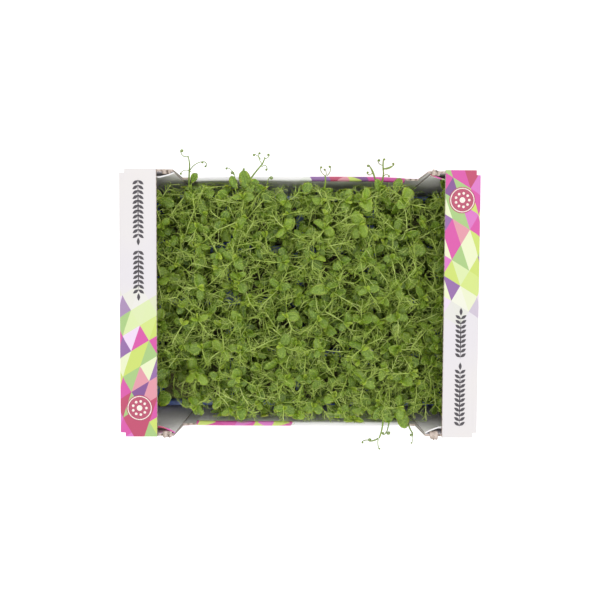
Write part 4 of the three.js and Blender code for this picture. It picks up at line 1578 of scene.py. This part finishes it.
def near_limit(x):
    """The room's limit in y along the near side, and how much it is drawn in there, from 0 to 1."""
    share = np.clip((BARE_FROM - x) / BARE_FADE, 0, 1)
    share = share**2 * (3 - 2 * share)
    return -ROOM[1] + BARE_DEPTH * share, share


def press_in(points, low, high):
    """The distance d past a line SOFT inside the limit becomes SOFT * tanh(d / SOFT)."""
    low = np.broadcast_to(low, points.shape).copy()
    low[..., 1] = np.maximum(low[..., 1], near_limit(points[..., 0])[0])
    over = np.maximum(points - (high - SOFT), 0)
    under = np.maximum(low + SOFT - points, 0)
    kept = np.clip(points, low + SOFT, high - SOFT)
    return kept + SOFT * np.tanh(over / SOFT) - SOFT * np.tanh(under / SOFT)


def stand_clear(shoot):
    """Moves the upper part of a shoot out of the bare corner."""
    limit, share = near_limit(shoot["top"][0])
    move = np.array([0, max(0.0, limit + CLEAR * share - shoot["top"][1]), 0])
    moved = {key: shoot[key] + move for key in ("top", "stalk")}
    moved["tips"] = [tip + move for tip in shoot["tips"]]
    return shoot | moved


print("room inside the carton", 2 * ROOM[:2], "mm")

# %% [markdown]
# ## Nodes, leaves and tendrils
# A stem is a quadratic curve with nodes at fixed shares of it, and each node turns the next stalk by a
# quarter or half a turn. The higher a node, the larger its leaves and the more tendrils its stalk ends in.

# %% Stems and nodes
NODE_SHARES = np.array([0.45, LOWER_NODE, 0.86, 1.0])
NODE_SIZES = np.array([0.7, 0.9, 0.95, 1.0])
NODE_TURNS = np.array([math.pi * 1.5, math.pi / 2, math.pi, 0.0])
TENDRILS = np.array([0, 5, 7, 10])  # at each node


def on_curve(root, middle, top, t):
    """The point of a quadratic curve at the parameter t."""
    return (1 - t) ** 2 * root + 2 * t * (1 - t) * middle + t**2 * top


def stems_of(shoots):
    """The curve of each stem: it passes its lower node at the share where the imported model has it."""
    root = np.array([np.append(s["root"], MAT_TOP - 1) for s in shoots])
    top = np.array([s["top"] for s in shoots])
    t = LOWER_NODE
    node = root + (top - root) * t + np.array([s["bend"] for s in shoots])
    middle = (node - (1 - t) ** 2 * root - t**2 * top) / (2 * t * (1 - t))
    return root, middle, top


def nodes_of(shoots, leans, draw):
    """The nodes of all shoots in one row: their shoot, level, place, way of the stalk, and whether the stalk
    hangs free."""
    way = np.array([shoot["way"] for shoot in shoots])
    owner = np.repeat(np.arange(len(shoots)), len(NODE_SHARES))
    level = np.tile(np.arange(len(NODE_SHARES)), len(shoots))
    topmost = level == len(NODE_SHARES) - 1
    place = on_curve(*(part[owner] for part in stems_of(shoots)), NODE_SHARES[level][:, None])
    way = way[owner] + NODE_TURNS[level] + draw.uniform(-0.5, 0.5, len(owner)) * ~topmost
    return {"owner": owner, "level": level, "topmost": topmost, "place": place, "way": way,
            "free": leans[owner] & topmost}


print(TENDRILS.sum(), "tendrils on a shoot")

# %% [markdown]
# A tendril is drawn as a turtle would walk it: even steps whose angle keeps growing, so it winds up towards
# its end. Tendrils leave a stalk in pairs along its last part.

# %% Tendrils
TENDRIL_STEPS, TENDRIL_LENGTH, TENDRIL_COIL = 8, (7, 23), (1.0, 6.0)
WIND_FROM = 0.55  # the share of a tendril after which it winds up
LEAVE_STEP = 0.17  # the share of the stalk between one pair of tendrils and the next


def curl_paths(start, heading, rise, roll, length, bend, coil, steps):
    """Tendrils, each in a plane of its own. The first part turns gently: the angle grows as bend times the
    way along to the power 1.5. The last part winds up: the angle gains coil times the way along it to the
    power 1.2."""
    share = np.linspace(0, 1, steps)[None]
    wound = np.maximum(share - WIND_FROM, 0) / (1 - WIND_FROM)
    angle = bend[:, None] * share**1.5 + coil[:, None] * wound**1.2
    step = length[:, None] / (steps - 1)
    x = np.cumsum(np.cos(angle) * step, axis=1) - step
    y = np.cumsum(np.sin(angle) * step, axis=1)
    y = y - y[:, :1]
    ahead = np.stack([np.cos(heading) * np.cos(rise), np.sin(heading) * np.cos(rise), np.sin(rise)], -1)
    flat = np.stack([-np.sin(heading), np.cos(heading), np.zeros_like(heading)], -1)
    side = flat * np.cos(roll)[:, None] + np.cross(ahead, flat) * np.sin(roll)[:, None]
    return start[:, None] + ahead[:, None] * x[..., None] + side[:, None] * y[..., None]


def sprays(start, bow, end, count, draw):
    """Tendrils in pairs along the last part of each stalk. count says how many each stalk has."""
    owner = np.repeat(np.arange(len(start)), count)
    order = np.concatenate([np.arange(n) for n in count])
    leave_at = np.clip(1 - (order // 2) * LEAVE_STEP, 0, 1)[:, None]
    base = on_curve(start[owner], bow[owner], end[owner], leave_at)
    ahead = (end - bow)[owner]
    total = len(owner)
    apart = np.where(order % 2, 1, -1) * draw.uniform(0.1, 1.1, total)
    heading = np.arctan2(ahead[:, 1], ahead[:, 0]) + apart
    rise, roll = draw.uniform(-0.45, 0.6, total), draw.uniform(0, 2 * math.pi, total)
    hand = draw.choice([-1, 1], total)
    bend, wind = draw.uniform(-0.5, 1.0, total) * hand, draw.uniform(*TENDRIL_COIL, total) * hand
    length = draw.uniform(*TENDRIL_LENGTH, total)
    return curl_paths(base, heading, rise, roll, length, bend, wind, TENDRIL_STEPS)


print("tendrils", TENDRIL_LENGTH, "mm long")

# %% [markdown]
# Leaves come in pairs, one to each side of the stalk's way, and no two are alike: every angle, length and
# bend has a range of its own. The tip of a shoot is a pair that is still folded.

# %% Pairs of leaves


def paired(count):
    """For each leaf of count pairs, its pair and its side."""
    return np.repeat(np.arange(count), 2), np.tile([-1.0, 1.0], count)


def stipules(foot, way, size, tone, draw):
    """A pair at each node: the settings of its two blades, one to each side of the way its stalk goes."""
    pair, side = paired(len(foot))
    count = len(pair)
    length = size[pair] * draw.uniform(0.8, 1.04, count)
    return {
        "foot": foot[pair],
        "heading": way[pair] + side * draw.uniform(1.1, 1.7, count),
        "rise": draw.uniform(-0.3, 0.8, count),
        "roll": draw.uniform(-0.75, 0.75, count),
        "length": length,
        "width": length * draw.uniform(0.74, 1.1, count),
        "cup": draw.uniform(-0.2, 1.0, count),
        "droop": draw.uniform(-0.1, 0.45, count),
        "wave": draw.uniform(0.1, 1.1, count),
        "side": side,
    }, tone[pair] + draw.uniform(-0.22, 0.22, count)


def young_blades(top, way, draw):
    """The tip of a shoot: two small blades that stand up and are still half folded round each other."""
    pair, side = paired(len(top))
    count = len(pair)
    return {
        "foot": top[pair] + [0, 0, 0.5],
        "heading": way[pair] + math.pi + side * draw.uniform(0.3, 0.9, count),
        "rise": draw.uniform(0.4, 1.0, count),
        "roll": side * draw.uniform(0.4, 0.9, count),
        "length": draw.uniform(6, 10, count),
        "width": draw.uniform(4, 7.5, count),
        "cup": np.full(count, 0.5),
        "droop": np.zeros(count),
        "wave": np.full(count, 0.2),
        "side": side,
    }, draw.uniform(0.65, 1.0, count)


print("pairs and sides of three nodes:", *(part.tolist() for part in paired(3)))

# %% [markdown]
# The blades of a pocket are worked out together, so their settings are joined first. Free stalks, and the
# tips of the leaning shoots, carry none, and the single leaves come last.

# %% All blades of a pocket
SHOOT_TONES, SINGLE_TONES = (0.0, 0.55), (0.05, 0.3)  # from the darkest green towards the palest
TIP_YOUNGER = 0.06  # how much paler the uppermost pair is


def join(settings, more, keep=slice(None)):
    """Two sets of blades as one, of which only those to keep."""
    return {key: np.concatenate([settings[key], more[key]])[keep] for key in settings}


def blades_of(shoots, leans, nodes, single, draw):
    """The settings and tones of all blades of a pocket. The free stalks, and the tips of the leaning shoots,
    have none. single holds the settings of the single leaves, which come last."""
    top, way, lobe = (np.array([shoot[key] for shoot in shoots], float) for key in ("top", "way", "lobe"))
    owner = nodes["owner"]
    tone = draw.uniform(*SHOOT_TONES, len(shoots))[owner] + TIP_YOUNGER * nodes["topmost"]
    size = lobe[owner] * NODE_SIZES[nodes["level"]]
    pairs, pair_tone = stipules(nodes["place"], nodes["way"], size, tone, draw)
    young, young_tone = young_blades(top, way, draw)
    kept = ~np.repeat(np.concatenate([nodes["free"], leans]), 2)
    settings, tones = join(pairs, young, kept), np.concatenate([pair_tone, young_tone])[kept]
    if single:
        settings = join(settings, single)
        tones = np.append(tones, np.linspace(*SINGLE_TONES, len(single["foot"])))
    return settings, tones


print("leaf pairs at", len(NODE_SHARES), "nodes")

# %% [markdown]
# ## One pocket
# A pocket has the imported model's shoots, the leaning ones and the filling ones, in this order. Their stems,
# stalks and tendrils are paths, sorted by kind.

# %% Paths of a pocket
STALK_OUT, STALK_UP = (18, 36), (8, 26)  # how far the lower stalks go out and up


def shoots_of(pocket, number, draw):
    """All shoots of a pocket, and which of them lean out over the side."""
    centre = centres[pocket]
    leaning = leaning_shoots(centre)
    shoots = packed_shoots(number, centre) + leaning
    shoots += extra_shoots(SHOOTS - len(shoots), number, centre, draw)
    leans = np.zeros(len(shoots), bool)
    leans[len(PLACES) : len(PLACES) + len(leaning)] = True
    return [stand_clear(shoot) for shoot in shoots], leans


def paths_of(shoots, leans, nodes, draw):
    """The paths of stems, stalks and tendrils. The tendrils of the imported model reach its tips."""
    upper = nodes["level"] > 0
    start, way, topmost, free = (nodes[key][upper] for key in ("place", "way", "topmost", "free"))
    total = len(start)
    out = np.stack([np.cos(way), np.sin(way)], -1) * draw.uniform(*STALK_OUT, (total, 1))
    end = start + np.column_stack([out, draw.uniform(*STALK_UP, total)])
    end[topmost] = [shoot["stalk"] for shoot in shoots]
    sway = np.column_stack([draw.uniform(-2.5, 2.5, (total, 2)), draw.uniform(-2, 5, total)])
    bow = (start + end) / 2 + sway
    inner = ~free
    tendrils = sprays(start[inner], bow[inner], end[inner], TENDRILS[nodes["level"][upper]][inner], draw)

    upright = [shoot for shoot, apart in zip(shoots, leans) if not apart]
    tips = [(shoot["stalk"], tip) for shoot in upright for tip in shoot["tips"]]
    tip_start, tip_end = (np.array(values) for values in zip(*tips))
    tip_bow = (tip_start + tip_end) / 2 + draw.uniform(-2, 2, tip_end.shape)
    stems = bezier(*stems_of(shoots), 9)
    return {
        "stem": stems[~leans],
        "stalk": bezier(start[inner], bow[inner], end[inner], 6),
        "tendril": tendrils,
        "packed tendril": bezier(tip_start, tip_bow, tip_end, TENDRIL_STEPS),
        "leaning stem": stems[leans],
        "leaning stalk": bezier(start[free], bow[free], end[free], 8),
    }


print("the lower stalks go", STALK_OUT, "mm out and", STALK_UP, "mm up")

# %% [markdown]
# Each kind of tube has its own thickness and tones. Everything but what hangs free or rests on a rim is then
# pressed into the pocket's room.

# %% One pocket's shoots
SHOOT_SEED = 900
# For each kind of tube: its radius at the start and at the end, its number of sides, its tones, and whether
# it is pressed in
TUBES = {
    "stem": (1.05, 0.8, 5, (0.1, 0.5), True),
    "stalk": (0.68, 0.45, 4, (0.4, 0.95), True),
    "tendril": (0.42, 0.24, 3, (0.15, 0.9), True),
    "packed tendril": (0.48, 0.28, 3, (0.3, 0.8), True),
    "single leaf's stalk": (0.8, 0.55, 5, (0.2, 0.4), False),
    "leaning stem": (1.3, 1.15, 5, (0.1, 0.3), False),
    "leaning stalk": (1.15, 0.85, 5, (0.0, 0.15), False),
    "free curl": (0.55, 0.42, 4, (0.02, 0.15), False),
    "twig": (0.85, 0.6, 5, (0.0, 0.15), False),
}


def grow(pocket, number):
    """The blades of a pocket's shoots, their places on the UV map, and then every kind of tube, with
    tones."""
    centre = centres[pocket]
    low, high = room_of(centre)
    draw = np.random.default_rng(SHOOT_SEED + number)
    shoots, leans = shoots_of(pocket, number, draw)
    nodes = nodes_of(shoots, leans, draw)
    single, single_stalks = edge_leaves(centre)
    settings, tones = blades_of(shoots, leans, nodes, single, draw)
    leaves, uv = blades(**settings)
    held = len(tones) - (len(single["foot"]) if single else 0)
    leaves[:held] = press_in(leaves[:held], low, high)

    paths = paths_of(shoots, leans, nodes, draw)
    if single:
        paths["single leaf's stalk"] = single_stalks
    if leans.any():
        paths |= {"free curl": loose_curls(centre), "twig": twigs(centre)}
    groups = [(leaves, tones)]
    for kind, (thick, thin, sides, shades, pressed) in TUBES.items():
        if len(paths.get(kind, ())) > 0:
            tube = tubes(paths[kind], thick, thin, sides)
            groups.append((press_in(tube, low, high) if pressed else tube, draw.uniform(*shades, len(tube))))
    return groups, uv


print(len(grow("c1r1", 0)[0][0][0]), "blades in the first pocket")

# %% [markdown]
# Everything that grows in a pocket becomes one object with two materials.

# %% Sixteen stands of shoots


def shoot_piece(pocket, number):
    """Joins a pocket's blades, which come first and have places on the UV map, and its tubes."""
    groups, uv = grow(pocket, number)
    points, faces, zones, tones = [], [], [], []
    start = 0
    for zone, (group, tone) in enumerate(groups):
        count, rows, columns = group.shape[:3]
        for made in tube_faces(count, rows, columns):
            faces.append(made + start)
            zones.append(np.full(len(made), min(zone, 1)))
        points.append(group.reshape(-1, 3))
        tones.append(np.repeat(tone, rows * columns))
        start += len(points[-1])
    points, zones, tones = (np.concatenate(parts) for parts in (points, zones, tones))
    on_blade = np.zeros((len(points), 2))
    on_blade[: uv.size // 2] = uv.reshape(-1, 2)
    name, smooth = f"pea_shoots_{pocket}", 180
    piece = make_piece(name, points, faces, [PEA_LEAF, PEA_STEM], zones, smooth, on_blade, tones)
    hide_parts(f"shoots_{pocket}")
    return piece


stands = [shoot_piece(pocket, number) for number, pocket in enumerate(POCKETS)]
triangles = [len(piece.data.loops) - 2 * len(piece.data.polygons) for piece in stands]
print("stands of shoots:", min(triangles), "to", max(triangles), "triangles,", sum(triangles), "in all")
